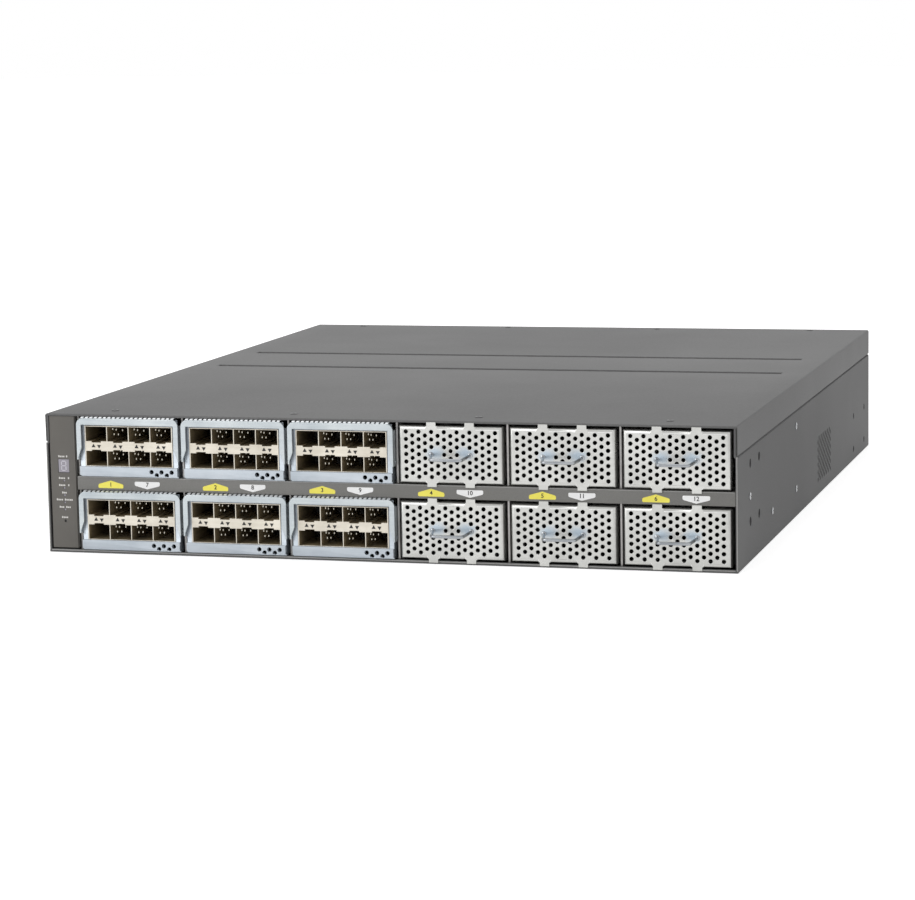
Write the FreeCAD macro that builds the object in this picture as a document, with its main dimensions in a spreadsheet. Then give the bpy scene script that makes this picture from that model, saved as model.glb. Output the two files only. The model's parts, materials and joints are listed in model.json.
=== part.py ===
"""Two-unit modular chassis switch, millimetres.

Twelve slots stand behind a folded steel tub: six hold port modules with eight transceiver
cages each, and six are closed by perforated blanking panels with wire pulls.  Two power
supplies and three fan trays plug in from the back.

X runs to the right seen from the front, the front faces -Y, and Z is up.  The origin is at
the middle of the base.  Sub-parts of the case are drawn from the middle of the front edge.
Slot pieces are drawn from the middle of their slot, and rear units from the rear plane.
"""
import FreeCAD, Part
import math
import os
import re

import Sketcher
from FreeCAD import Placement, Rotation, Vector

# Every size that can be set by itself, with what it measures.
SIZES = [
    ("width", 440, "case, left to right"),
    ("depth", 545, "case, front to back"),
    ("tall", 88, "case, two rack units less the gap between neighbours"),
    ("sheet", 1.2, "steel of the tub, dividers and rear panel"),
    ("lid_sheet", 0.8, "steel of the top cover"),
    ("lid_play", 0.1, "between the cover's skirt and the tub's stepped wall"),
    ("skirt", 18, "how far the cover comes down each side"),
    ("seam", 0.5, "open joint under the skirt"),
    ("hem", 0.6, "how far the cover's front hem shows below its sheet"),
    ("front_lip", 2.0, "height of the turned-up front edge of the tub"),
    ("groove_one", 272, "first stiffening groove of the cover, from the front"),
    ("groove_gap", 82, "between the two grooves"),
    ("groove_end", 20, "from the side of the case to a groove's end"),
    ("groove_wide", 5, "across a groove"),
    ("groove_low", 0.9, "depth of a groove"),
    ("ear_first", 42, "rack ear holes, from the front"),
    ("ear_run", 30, "between the ear holes along the side"),
    ("ear_low", 24.5, "rack ear holes, from the base"),
    ("ear_under", 9.5, "upper ear holes, below the seam"),
    ("ear_hole", 2.1, "radius of an ear hole"),
    ("rail_back", 25, "rear rail holes, from the back"),
    ("rail_run", 53, "between the rail holes along the side"),
    ("rail_low", 8, "rear rail holes, from the base"),
    ("rail_rise", 24.5, "between the rail holes, upwards"),
    ("rail_hole", 2.0, "radius of a rail hole"),
    ("vent_first", 299, "side vent, from the front"),
    ("vent_slots", 8, "slots of the side vent"),
    ("vent_pitch", 7.3, "between the slots of the side vent"),
    ("vent_slot", 3.4, "width of one slot"),
    ("vent_low", 9, "bottom of the side vent"),
    ("vent_tall", 31, "height of the side vent"),
    ("columns", 6, "slots side by side"),
    ("side_band", 20.9, "left side of the case to the middle of the first divider"),
    ("right_band", 1.5, "right side of the case to where the last slot ends"),
    ("divider_back", 3.0, "dividers stand back from the front by this"),
    ("rung", 8.6, "height of the bar between the two rows"),
    ("rung_deep", 12, "front to back of that bar"),
    ("slot_deep", 200, "front to the midplane"),
    ("play", 0.2, "between pieces that are put together"),
    ("plate", 1.0, "steel of the modules and blanking panels"),
    ("label_left", 2.4, "side of the case to the status panel"),
    ("label_wide", 17.5, "status panel"),
    ("label_low", 2.8, "bottom of the status panel"),
    ("label_room", 1.6, "top of the status panel to the top of the case"),
    ("label_back", 0.5, "status panel stands back by this"),
    ("label_sheet", 1.2, "wall of the status panel"),
    ("label_fold", 12, "its side folds, front to back"),
    ("ridge", 0.3, "height of the raised line beside it"),
    ("glass_wide", 7.5, "display window"),
    ("glass_low", 50.5, "bottom of the display window"),
    ("glass_tall", 8.7, "height of the display window"),
    ("lamps", 5, "status lamps"),
    ("lamp_low", 27, "lowest lamp"),
    ("lamp_pitch", 4.6, "between lamps"),
    ("lamp", 0.6, "half the side of a lamp hole"),
    ("reset_high", 19.9, "reset hole, from the base"),
    ("reset_hole", 0.9, "radius of the reset hole"),
    ("reset_pin", 0.6, "radius of the reset button"),
    ("reset_back", 0.5, "reset button stands behind the panel's face by this"),
    ("tray_low", 2.2, "underside of a module's tray, from the slot's base line"),
    ("tray_deep", 186, "length of a module's tray"),
    ("tray_room", 6.2, "its side walls are lower than the slot by this"),
    ("slot_gap", 4.6, "between the trays or panels of neighbouring slots"),
    ("face_low", 3.1, "bottom of a module's or panel's face"),
    ("face_room", 2.5, "a module's face is lower than the slot by this"),
    ("lip_tall", 5.5, "height of the lip under the cages"),
    ("lip_proud", 2.0, "how far the lip stands out"),
    ("cage_side", 3.3, "side of a module to its transceiver cages"),
    ("cage_low", 8.7, "bottom of the cages"),
    ("cage_room", 12.6, "the cages are lower than the slot by this"),
    ("cage_deep", 48, "length of the cages"),
    ("cage_proud", 0.4, "how far the cages stand out of the face"),
    ("cages_across", 4, "cages side by side"),
    ("cage_wall", 0.92, "wall between neighbouring cages"),
    ("cell_low", 0.3, "metal under the lower cages"),
    ("cell_top", 0.6, "metal over the upper cages"),
    ("cell_band", 6.3, "band between the lower and the upper cages"),
    ("cell_deep", 44, "depth of one cage"),
    ("board", 1.6, "thickness of the circuit boards"),
    ("tongue_wide", 40, "plug at the back of a module's board"),
    ("socket_wide", 48, "midplane socket"),
    ("socket_tall", 9, "height of a midplane socket"),
    ("socket_deep", 8, "how far a socket stands out of the midplane"),
    ("bail_gap", 1.9, "between neighbouring ejector bails"),
    ("bail_over", 1.1, "top of the bail above the slot's height"),
    ("bail_end", 12.9, "lower ends of its legs"),
    ("bail_proud", 3.0, "how far the bail stands out"),
    ("bail_leg", 3.2, "width of a leg's front"),
    ("bail_band", 4.1, "height of the bail's top band"),
    ("bail_corner", 4.2, "radius of its upper corners"),
    ("bail_side", 6.5, "front to back of its side folds"),
    ("taper_top", 20.4, "where a leg starts to narrow"),
    ("taper_end", 14.5, "where it is only the side fold"),
    ("pivot_back", 1.2, "pivot of the bail, behind the face"),
    ("pivot_high", 15.5, "pivot, from the slot's base line"),
    ("pivot_pin", 1.0, "radius of a pivot pin"),
    ("pivot_play", 0.5, "pivot hole is larger in radius by this"),
    ("blank_room", 2.8, "a blanking panel is lower than the slot by this"),
    ("blank_deep", 24, "folds of a blanking panel, front to back"),
    ("blank_edge", 0.6, "bevel along the panel's sides"),
    ("tab_wide", 5.8, "holding tab"),
    ("tab_out", 12, "tabs, from the middle of the panel"),
    ("tab_long", 2.2, "how far a tab reaches past the panel"),
    ("hole_sides", 4, "corners of a punched hole: more make it rounder"),
    ("hole", 2.3, "punched hole, middle to corner"),
    ("hole_side", 4.5, "side of the panel to the first column of holes"),
    ("hole_end", 3.8, "ends of the columns, from the panel's top and bottom"),
    ("hole_columns", 6, "full columns"),
    ("hole_rows", 5, "holes in a full column"),
    ("pull_inset", 0.7, "legs of the pull wire, inside the unpunched columns"),
    ("pull_out", 13.5, "how far the pull stands out"),
    ("pull_wire", 1.45, "radius of the wire"),
    ("pull_bend", 4.0, "what the bends cut off the pull's corners"),
    ("pull_drop", 0.6, "the grip hangs below the feet by this"),
    ("screw_head", 2.4, "radius of a case screw's head"),
    ("screw_tall", 0.7, "height of the head"),
    ("screw_side", 40, "first cover screw, from the side of the case"),
    ("screw_end", 43.9, "last cover screw, from the other side of the case"),
    ("screws_across", 4, "cover screws in a row"),
    ("screw_front", 18, "front row of cover screws"),
    ("screw_back", 8, "rear row of cover screws, from the back"),
    ("screw_low", 18.5, "lower screws in the side, from the base"),
    ("screw_ear", 2, "screw by the ear holes, in front of the first and under their middle"),
    ("screw_run", 46, "ear holes to the next screw in the side"),
    ("screw_wall", 9, "last screws in the side, behind the slots"),
    ("unit_wide", 73.5, "power supply"),
    ("unit_long", 185, "length of a power supply"),
    ("unit_proud", 2, "how far it stands out at the back"),
    ("unit_play", 0.3, "round a power supply in its opening"),
    ("unit_side", 44, "middle of the power supplies, from the side of the case"),
    ("unit_low", 3.3, "underside of the lower power supply"),
    ("unit_top", 4.7, "upper power supply to the top of the case"),
    ("inlet_wide", 27.5, "mains inlet"),
    ("inlet_tall", 20.5, "height of the inlet"),
    ("inlet_deep", 16, "depth of the inlet"),
    ("inlet_out", 17, "inlet, from the middle of the power supply"),
    ("latch_long", 38, "length of the latch inside the supply's side"),
    ("latch_out", 8, "thumb piece of the latch"),
    ("latch_tall", 10, "height of the latch"),
    ("latch_thick", 2, "thickness of the latch"),
    ("latch_room", 1.9, "room for the latch to be pressed in"),
    ("grille_first", 4, "side of the air grille to its first slot"),
    ("grille_slot", 2, "width of a grille slot"),
    ("grille_pitch", 4, "between grille slots"),
    ("grille_slots", 6, "slots of the air grille"),
    ("grille_end", 4.9, "grille slots to the top and bottom of the supply"),
    ("fans", 3, "fan trays"),
    ("fan_apart", 2.5, "between the plates of neighbouring fan trays"),
    ("fan_edge", 5, "last fan tray to the side of the case"),
    ("fan_room", 8, "a fan's housing is lower than the case by this"),
    ("fan_rim", 2, "edge of a fan tray's plate round its housing"),
    ("fan_long", 60, "length of the housing"),
    ("fan_wall", 2, "thinnest wall of the housing round the air duct"),
    ("tip_gap", 2.15, "between the duct and the middle of a blade's tip"),
    ("fan_hub", 16, "radius of the hub"),
    ("fan_strut", 4, "width of a strut"),
    ("fan_boss", 5, "thickness of the struts and boss"),
    ("fan_gap", 0.4, "between the boss and the turning hub"),
    ("blades", 5, "blades of a fan"),
    ("blade_chord", 22, "across a blade"),
    ("blade_thick", 1.4, "thickness of a blade"),
    ("blade_tilt", 38, "tilt of a blade, degrees"),
    ("ports_edge", 20.6, "service sockets to the units on both sides"),
    ("ports_tall", 15, "height of the block"),
    ("ports_deep", 18, "depth of the block"),
    ("ports_high", 62, "middle of the block, from the base"),
    ("main_low", 8, "underside of the switch board"),
    ("main_gap", 11.6, "switch board to the fan trays"),
    ("main_side", 5.75, "switch board to the wall beside the power supplies"),
    ("chip", 32, "side of a switch chip"),
    ("chip_tall", 2.4, "height of a chip"),
    ("chip_first", 190, "first chip, from the side of the case"),
    ("chip_pitch", 130, "between the chips"),
    ("chip_back", 300, "chips, from the front"),
    ("sink_wide", 64, "heat sink"),
    ("sink_long", 80, "length of a heat sink"),
    ("sink_tall", 26, "height of a heat sink"),
    ("sink_base", 4, "thickness of its base"),
    ("fin", 2.4, "thickness of a fin"),
    ("fin_count", 6, "fins of a heat sink"),
]
NAMES = {name for name, _, _ in SIZES}

# Sizes that follow from those above.
DERIVED = {
    "slot_pitch": "(width - side_band - right_band)/columns",
    "slot_open": "(tall - lid_sheet - hem - front_lip - rung)/2",
    "ear_rise": "tall - skirt - seam - ear_under - ear_low",
    "rail_first": "depth - rail_back - rail_run",
    "label_top": "tall - label_room",
    "body_wide": "slot_pitch - slot_gap",
    "tray_tall": "slot_open - tray_room",
    "face_tall": "slot_open - face_room",
    "cage_wide": "body_wide - 2*cage_side",
    "cage_tall": "slot_open - cage_room",
    "cell_pitch": "(cage_wide - cage_wall)/cages_across",
    "cell_wide": "cell_pitch - cage_wall",
    "cell_tall": "(cage_tall - cell_low - cell_top - cell_band)/2",
    "cell_rise": "cell_tall + cell_band",
    "bail_wide": "slot_pitch - bail_gap",
    "bail_top": "slot_open + bail_over",
    "blank_tall": "slot_open - blank_room",
    "hole_pitch": "(body_wide - 2*hole_side)/(hole_columns - 1)",
    "hole_rise": "(blank_tall - 2*hole_end)/(hole_rows - 1)",
    "pull_half": "hole_pitch - pull_inset",
    "screw_pitch": "(width - screw_side - screw_end)/(screws_across - 1)",
    "unit_tall": "(tall - unit_low - unit_top - 2*unit_play - sheet - play)/2",
    "unit_right": "unit_side + unit_wide/2",
    "fan_body": "tall - fan_room",
    "fan_flange": "fan_body + 2*fan_rim",
    "fan_bore": "fan_body/2 - fan_wall",
    "fan_tip": "fan_bore - tip_gap",
    "fan_pitch": "fan_flange + fan_apart",
    "fan_side": "fan_flange/2 + fan_edge",
    "fans_left": "width - fan_edge - fans*fan_pitch + fan_apart",
    "ports_wide": "fans_left - unit_right - 2*ports_edge",
    "ports_side": "(fans_left + unit_right)/2",
    "jack_wide": "ports_wide/4",
    "jack_frame": "ports_tall/8",
    "main_long": "depth - slot_deep - 2*board - play - fan_long - main_gap",
    "main_left": "unit_right + unit_play + sheet + main_side",
}

# Places worked out from the sizes.
HALF = "(width/2)"
LID_UNDER = "(tall - lid_sheet)"
STEP = "(lid_sheet + lid_play)"
SEAM_TOP = "(tall - skirt - seam)"
ROW = "(slot_open + rung)"
RUNG_LOW = "(front_lip + slot_open)"
RUNG_TOP = "(front_lip + slot_open + rung)"
FIRST_DIVIDER = "(side_band - width/2)"
WALL_IN = "(width/2 - sheet)"
UPPER_WALL_IN = "(width/2 - lid_sheet - lid_play - sheet)"
LABEL_X = "(label_left + label_wide/2 - width/2)"
FACE_MIDDLE = "(face_low + blank_tall/2)"
BOARD_LOW = "(cage_low - board)"
FAN_MIDDLE = "((sheet + tall - lid_sheet)/2)"
UNIT_PITCH = "(unit_tall + 2*unit_play + sheet + play)"

PLANES = {"top": "XY_Plane", "front": "XZ_Plane", "side": "YZ_Plane"}

# Small round forms are drawn with flats, so that the model stays light.
PIN_SIDES = 6
HUB_SIDES = 8
DUCT_SIDES = 16

TOUCH = 0.01  # two edges are taken to be in line within this

doc = FreeCAD.newDocument("chassis_switch")
sheet = doc.addObject("Spreadsheet::Sheet", "Sizes")
pieces = []


def fill_sheet():
    """Write each size with its alias and note into the sheet."""
    for row, (name, value, note) in enumerate(SIZES, start=1):
        sheet.set(f"A{row}", name)
        sheet.set(f"B{row}", str(value))
        sheet.set(f"C{row}", note)
        sheet.setAlias(f"B{row}", name)
    doc.recompute()


def formula(text):
    """Turn plain size names into references to the sheet, and derived ones into their terms."""
    def term(match):
        name = match[0]
        if name in DERIVED:
            return f"({formula(DERIVED[name])})"
        return f"Sizes.{name}" if name in NAMES else name

    return re.sub(r"[a-z_]+", term, str(text))


def origin_item(body, role):
    """One of the body's own origin planes or axes."""
    return next(item for item in body.Origin.OriginFeatures if item.Role == role)


def new_body(label, x=0, y="-depth/2", z=0):
    """Start a sub-part whose own origin stands at the given place."""
    body = doc.addObject("PartDesign::Body", label)
    body.Label = label
    body.AllowCompound = True
    put(body, x, y, z)
    pieces.append(body)
    return body


def put(piece, x, y, z):
    """Bind the piece's place to the sizes."""
    for axis, place in zip("xyz", (x, y, z)):
        piece.setExpression(f"Placement.Base.{axis}", formula(place))


def copy_of(piece, label, x, y, z):
    """The same sub-part once more, at another place."""
    link = doc.addObject("App::Link", label)
    link.LinkedObject = piece
    link.Label = label
    put(link, x, y, z)
    pieces.append(link)
    return link


def rect(left, low, right, high):
    """Corners of a rectangle."""
    return [(left, low), (right, low), (right, high), (left, high)]


def regular(x, y, radius, sides, turn=0.0):
    """Corners of a regular polygon round (x, y), given by its corner radius."""
    angles = [turn + 2 * math.pi * i / sides for i in range(sides)]
    return [
        (f"{x} + ({radius})*({math.cos(a):.6f})", f"{y} + ({radius})*({math.sin(a):.6f})")
        for a in angles
    ]


def disc(x, y, radius):
    """A circle."""
    return (x, y, radius)


def mirrored(points):
    """Points on the right, then the same on the left, so that the outline closes."""
    left = [(f"-({x})", y) for x, y in reversed(points)]
    return points + left


def draw_outline(sketch, points):
    """Closed straight outline whose corners are bound to the sizes."""
    count = len(points)
    first = sketch.GeometryCount
    ring = [Vector(math.cos(2 * math.pi * i / count), math.sin(2 * math.pi * i / count), 0)
            for i in range(count)]
    sketch.addGeometry([Part.LineSegment(ring[i], ring[(i + 1) % count]) for i in range(count)])
    for i in range(count):
        sketch.addConstraint(Sketcher.Constraint("Coincident", first + i, 2, first + (i + 1) % count, 1))
    for i, (x, y) in enumerate(points):
        bind_point(sketch, first + i, 1, x, y, ring[i])


def draw_disc(sketch, x, y, radius):
    """Circle whose centre and radius are bound to the sizes."""
    centre = Vector(1, 1, 0)
    index = sketch.addGeometry(Part.Circle(centre, Vector(0, 0, 1), 1))
    bind_point(sketch, index, 3, x, y, centre)
    size = sketch.addConstraint(Sketcher.Constraint("Radius", index, 1))
    sketch.setExpression(f"Constraints[{size}]", formula(radius))


def bind_point(sketch, index, point, x, y, start):
    """Bind one sketch point's distances from the sketch's origin."""
    for kind, place, value in (("DistanceX", x, start.x), ("DistanceY", y, start.y)):
        number = sketch.addConstraint(Sketcher.Constraint(kind, -1, 1, index, point, value))
        sketch.setExpression(f"Constraints[{number}]", formula(place))


def draw(body, side, level, shapes):
    """Sketch on one of the body's planes, moved to the given level along its axis."""
    sketch = body.newObject("Sketcher::SketchObject", "Sketch")
    sketch.AttachmentSupport = [(origin_item(body, PLANES[side]), "")]
    sketch.MapMode = "FlatFace"
    sign = "-" if side == "front" else ""
    sketch.setExpression("AttachmentOffset.Base.z", formula(f"{sign}({level})"))
    for shape in shapes:
        if isinstance(shape, tuple):
            draw_disc(sketch, *shape)
        else:
            draw_outline(sketch, shape)
    return sketch


def add(body, side, level, length, *shapes):
    """Pad from the level towards the positive end of the plane's axis."""
    sketch = draw(body, side, level, shapes)
    pad = body.newObject("PartDesign::Pad", "Pad")
    pad.Profile = sketch
    pad.setExpression("Length", formula(length))
    pad.Reversed = side == "front"
    return pad


def cut(body, side, level, length, *shapes):
    """Pocket from the level towards the positive end of the plane's axis."""
    sketch = draw(body, side, level, shapes)
    pocket = body.newObject("PartDesign::Pocket", "Pocket")
    pocket.Profile = sketch
    pocket.setExpression("Length", formula(length))
    pocket.Reversed = side != "front"
    return pocket


def row_of(body, axis, pitch, count):
    """A line of copies, for use inside a grid."""
    line = body.newObject("PartDesign::LinearPattern", "Row")
    line.Direction = (origin_item(body, f"{axis}_Axis"), [""])
    line.Mode = "Spacing"
    line.setExpression("Offset", formula(pitch))
    line.setExpression("Occurrences", formula(count))
    return line


def grid(body, feature, *lines):
    """Repeat a feature along one or two lines, each given as (axis, pitch, count)."""
    pattern = body.newObject("PartDesign::MultiTransform", "Grid")
    pattern.Originals = [feature]
    pattern.Transformations = [row_of(body, *line) for line in lines]
    body.Tip = pattern
    return pattern


def polar(body, feature, axis, count):
    """Repeat a feature round one of the body's axes."""
    pattern = body.newObject("PartDesign::PolarPattern", "Ring")
    pattern.Originals = [feature]
    pattern.Axis = (origin_item(body, f"{axis}_Axis"), [""])
    pattern.Angle = 360
    pattern.setExpression("Occurrences", formula(count))
    body.Tip = pattern
    return pattern


def size(name):
    """A size as a number."""
    return float(getattr(sheet, name))


# Case


def make_tub():
    """Floor and both walls in one fold; the walls step in where the cover laps over them."""
    tub = new_body("chassis_tub")
    section = mirrored([
        (HALF, 0),
        (HALF, f"{SEAM_TOP} - {STEP}"),
        (f"{HALF} - {STEP}", SEAM_TOP),
        (f"{HALF} - {STEP}", LID_UNDER),
        (UPPER_WALL_IN, LID_UNDER),
        (UPPER_WALL_IN, SEAM_TOP),
        (WALL_IN, f"{SEAM_TOP} - {STEP}"),
        (WALL_IN, "sheet"),
    ])
    add(tub, "front", 0, "depth", section)
    add(tub, "front", 0, "sheet", rect(f"-{WALL_IN}", "sheet/2", WALL_IN, "front_lip"))
    through = (f"-{HALF} - 1", "width + 2")
    ears = [
        disc(y, z, "ear_hole")
        for y in ("ear_first", "ear_first + ear_run")
        for z in ("ear_low", "ear_low + ear_rise")
    ]
    rails = [
        regular(y, z, "rail_hole", PIN_SIDES)
        for y in ("rail_first", "rail_first + rail_run")
        for z in ("rail_low", "rail_low + rail_rise")
    ]
    cut(tub, "side", *through, *ears, *rails)
    slot = cut(tub, "side", *through,
               rect("vent_first", "vent_low", "vent_first + vent_slot", "vent_low + vent_tall"))
    grid(tub, slot, ("Y", "vent_pitch", "vent_slots"))


def make_cover():
    """Cover with side skirts, a front hem and two stiffening grooves pressed into it."""
    cover = new_body("top_cover")
    inner = f"({HALF} - lid_sheet)"
    section = mirrored([
        (HALF, "tall"),
        (HALF, "tall - skirt"),
        (inner, "tall - skirt"),
        (inner, LID_UNDER),
    ])
    add(cover, "front", 0, "depth", section[::-1])
    hem_half = f"({UPPER_WALL_IN} - play)"
    add(cover, "front", 0, "lid_sheet",
        rect(f"-{hem_half}", f"{LID_UNDER} - hem", hem_half, f"{LID_UNDER} + lid_sheet/2"))
    end = f"({HALF} - groove_end)"
    for front in ("groove_one", "groove_one + groove_gap"):
        ridge = rect(f"-{end} - lid_sheet", f"{front} - groove_wide/2 - lid_sheet",
                     f"{end} + lid_sheet", f"{front} + groove_wide/2 + lid_sheet")
        add(cover, "top", f"{LID_UNDER} - groove_low", "groove_low + lid_sheet/2", ridge)
        groove = rect(f"-{end}", f"{front} - groove_wide/2", end, f"{front} + groove_wide/2")
        cut(cover, "top", "tall - groove_low", "groove_low + 1", groove)


def make_rung():
    """Channel-shaped bar between the two rows, its hollow side to the back."""
    rung = new_body("mid_bar")
    channel = [
        (0, RUNG_LOW),
        (0, RUNG_TOP),
        ("rung_deep", RUNG_TOP),
        ("rung_deep", f"{RUNG_TOP} - sheet"),
        ("sheet", f"{RUNG_TOP} - sheet"),
        ("sheet", f"{RUNG_LOW} + sheet"),
        ("rung_deep", f"{RUNG_LOW} + sheet"),
        ("rung_deep", RUNG_LOW),
    ]
    left = f"({FIRST_DIVIDER} - sheet/2)"
    add(rung, "side", left, f"{WALL_IN} - {left}", channel)


def make_cage_frame():
    """Shelf between the rows, and the dividers that cross it."""
    frame = new_body("slot_frame")
    middle = f"({RUNG_LOW} + rung/2)"
    left = f"({FIRST_DIVIDER} - sheet/2)"
    back = "(slot_deep - play)"
    shelf = rect(left, "rung_deep + play", f"{WALL_IN} - play", back)
    add(frame, "top", f"{middle} - sheet/2", "sheet", shelf)
    notch = "(rung_deep + play)"
    divider = [
        ("divider_back", "sheet"),
        (back, "sheet"),
        (back, LID_UNDER),
        ("divider_back", LID_UNDER),
        ("divider_back", f"{RUNG_TOP} + play"),
        (notch, f"{RUNG_TOP} + play"),
        (notch, f"{RUNG_LOW} - play"),
        ("divider_back", f"{RUNG_LOW} - play"),
    ]
    first = add(frame, "side", left, "sheet", divider)
    grid(frame, first, ("X", "slot_pitch", "columns"))


def make_status_panel():
    """Moulded strip at the left with the display, five lamps and the reset hole."""
    panel = new_body("status_panel")
    left = "(label_left - width/2)"
    right = f"({left} + label_wide)"
    add(panel, "front", "label_back", "label_sheet", rect(left, "label_low", right, "label_top"))
    add(panel, "front", "label_back", "label_fold",
        rect(left, "label_low", f"{left} + label_sheet", "label_top"),
        rect(f"{right} - label_sheet", "label_low", right, "label_top"))
    add(panel, "front", "label_back - ridge", "ridge + label_sheet/2",
        rect(f"{right} - label_sheet - ridge", "label_low", f"{right} - ridge", "label_top"))
    window = rect(f"{LABEL_X} - glass_wide/2", "glass_low",
                  f"{LABEL_X} + glass_wide/2", "glass_low + glass_tall")
    reset = regular(LABEL_X, "reset_high", "reset_hole", PIN_SIDES)
    cut(panel, "front", "label_back - 1", "label_sheet + 2", window, reset)
    hole = cut(panel, "front", "label_back - 1", "label_sheet + 2",
               rect(f"{LABEL_X} - lamp", "lamp_low - lamp", f"{LABEL_X} + lamp", "lamp_low + lamp"))
    grid(panel, hole, ("Z", "lamp_pitch", "lamps"))


def make_display():
    """Lens of the seven-segment display, set in the panel's window."""
    glass = new_body("display_window")
    half = "(glass_wide/2 - play)"
    add(glass, "front", "label_back + play", "label_fold/2",
        rect(f"{LABEL_X} - {half}", "glass_low + play",
             f"{LABEL_X} + {half}", "glass_low + glass_tall - play"))


def make_lamps():
    """Clear light guide behind the panel, with one pipe into each lamp hole."""
    guide = new_body("lamp_guide")
    back = "(label_back + label_sheet + play)"
    bar = rect(f"{LABEL_X} - 2*reset_hole", "reset_high - 2*reset_hole",
               f"{LABEL_X} + 2*reset_hole", "lamp_low + lamp_pitch*(lamps - 1) + 2*lamp")
    add(guide, "front", back, "label_sheet", bar)
    cut(guide, "front", f"{back} - 1", "label_sheet + 2",
        regular(LABEL_X, "reset_high", "reset_hole", PIN_SIDES))
    half = "(lamp - play/2)"
    pipe = add(guide, "front", "label_back + play", "label_sheet + play",
               rect(f"{LABEL_X} - {half}", f"lamp_low - {half}",
                    f"{LABEL_X} + {half}", f"lamp_low + {half}"))
    grid(guide, pipe, ("Z", "lamp_pitch", "lamps"))


def make_reset():
    """Reset button: a thin plunger with a collar behind the light guide."""
    button = new_body("reset_button")
    front = "(label_back + reset_back)"
    collar = "(label_back + 2*label_sheet + 2*play)"
    add(button, "front", front, f"{collar} - {front} + label_sheet",
        regular(LABEL_X, "reset_high", "reset_pin", PIN_SIDES))
    add(button, "front", collar, "label_sheet", regular(LABEL_X, "reset_high", "2*reset_pin", PIN_SIDES))


def make_midplane():
    """Upright board behind the slots with a socket for each of them."""
    plane = new_body("midplane")
    add(plane, "front", "slot_deep", "2*board",
        rect(FIRST_DIVIDER, "sheet + 2*play", f"{UPPER_WALL_IN} - 2*play", f"{LID_UNDER} - 2*play"))
    middle = f"({FIRST_DIVIDER} + slot_pitch/2)"
    low = f"({BOARD_LOW} + board/2 - socket_tall/2)"
    socket = add(plane, "front", "slot_deep - socket_deep", "socket_deep + board",
                 rect(f"{middle} - socket_wide/2", low, f"{middle} + socket_wide/2", f"{low} + socket_tall"))
    grid(plane, socket, ("X", "slot_pitch", "columns"), ("Z", ROW, 2))


def make_switch_board():
    """Main board on four posts, with two switch chips."""
    board = new_body("switch_board")
    left = "(main_left - width/2)"
    right = f"({UPPER_WALL_IN} - 2*play)"
    front = "(slot_deep + 2*board + play)"
    back = f"({front} + main_long)"
    add(board, "top", "main_low", "board", rect(left, front, right, back))
    post = "(2*board)"
    corners = [
        rect(f"{x} - {post}", f"{y} - {post}", f"{x} + {post}", f"{y} + {post}")
        for x in (f"{left} + chip", f"{right} - chip")
        for y in (f"{front} + chip", f"{back} - chip")
    ]
    add(board, "top", "sheet", "main_low - sheet/2", *corners)
    chip = add(board, "top", "main_low + board/2", "board/2 + chip_tall",
               rect("chip_first - width/2 - chip/2", "chip_back - chip/2",
                    "chip_first - width/2 + chip/2", "chip_back + chip/2"))
    grid(board, chip, ("X", "chip_pitch", 2))


def make_heat_sinks():
    """Extruded fins over the two switch chips."""
    sinks = new_body("heat_sinks")
    low = "(main_low + board + chip_tall)"
    top = f"({low} + sink_tall)"
    fins = int(size("fin_count"))
    gap = "((sink_wide - fin_count*fin)/(fin_count - 1))"
    outlines = []
    for number in range(2):
        left = f"(chip_first - width/2 + {number}*chip_pitch - sink_wide/2)"
        comb = [(f"{left} + sink_wide", low), (left, low)]
        for index in range(fins):
            edge = f"{left} + {index}*(fin + {gap})"
            comb += [(edge, top), (f"{edge} + fin", top)]
            if index < fins - 1:
                comb += [(f"{edge} + fin", f"{low} + sink_base"),
                         (f"{edge} + fin + {gap}", f"{low} + sink_base")]
        outlines.append(comb)
    add(sinks, "front", "chip_back - sink_long/2", "sink_long", *outlines)


def fan_x(index):
    """Middle of a fan tray."""
    return f"({HALF} - fan_side - fan_pitch*(fans - 1 - {index}))"


def make_rear_panel():
    """Rear wall with openings for the plug-in units, and the shelf of the power supplies.

    Its two outer uprights are strips of their own, parted from the wall by a thin seam.
    """
    rear = new_body("rear_panel")
    edge = f"({UPPER_WALL_IN} - play)"
    wall = rect(f"-{edge}", "sheet", edge, LID_UNDER)
    openings = []
    for number in range(2):
        low = f"(unit_low - unit_play + {number}*{UNIT_PITCH})"
        openings.append(rect("unit_side - width/2 - unit_wide/2 - unit_play", low,
                             "unit_side - width/2 + unit_wide/2 + unit_play",
                             f"{low} + unit_tall + 2*unit_play"))
    openings.append(rect("ports_side - width/2 - ports_wide/2 - play", "ports_high - ports_tall/2 - play",
                         "ports_side - width/2 + ports_wide/2 + play", "ports_high + ports_tall/2 + play"))
    add(rear, "front", "depth - sheet", "sheet", wall)
    cut(rear, "front", "depth - sheet - 1", "sheet + 2", *openings)
    half = "(fan_body/2 + play)"
    first = cut(rear, "front", "depth - sheet - 1", "sheet + 2",
                rect(f"{fan_x(0)} - {half}", f"{FAN_MIDDLE} - {half}",
                     f"{fan_x(0)} + {half}", f"{FAN_MIDDLE} + {half}"))
    grid(rear, first, ("X", "fan_pitch", "fans"))
    outer = "(unit_side - width/2 - unit_wide/2 - unit_play)"
    fan_end = f"({fan_x('(fans - 1)')} + {half})"
    cut(rear, "front", "depth - sheet - 1", "sheet + 2",
        rect(outer, 0, f"{outer} + play", "tall"), rect(f"{fan_end} - play", 0, fan_end, "tall"))
    inner = "(unit_side - width/2 + unit_wide/2 + unit_play)"
    shelf_low = "(unit_low + unit_tall + unit_play)"
    add(rear, "front", "depth - unit_long", "unit_long - sheet/2",
        rect(inner, "sheet", f"{inner} + sheet", LID_UNDER),
        rect(f"{outer} + play", shelf_low, f"{inner} + sheet/2", f"{shelf_low} + sheet"))


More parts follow.
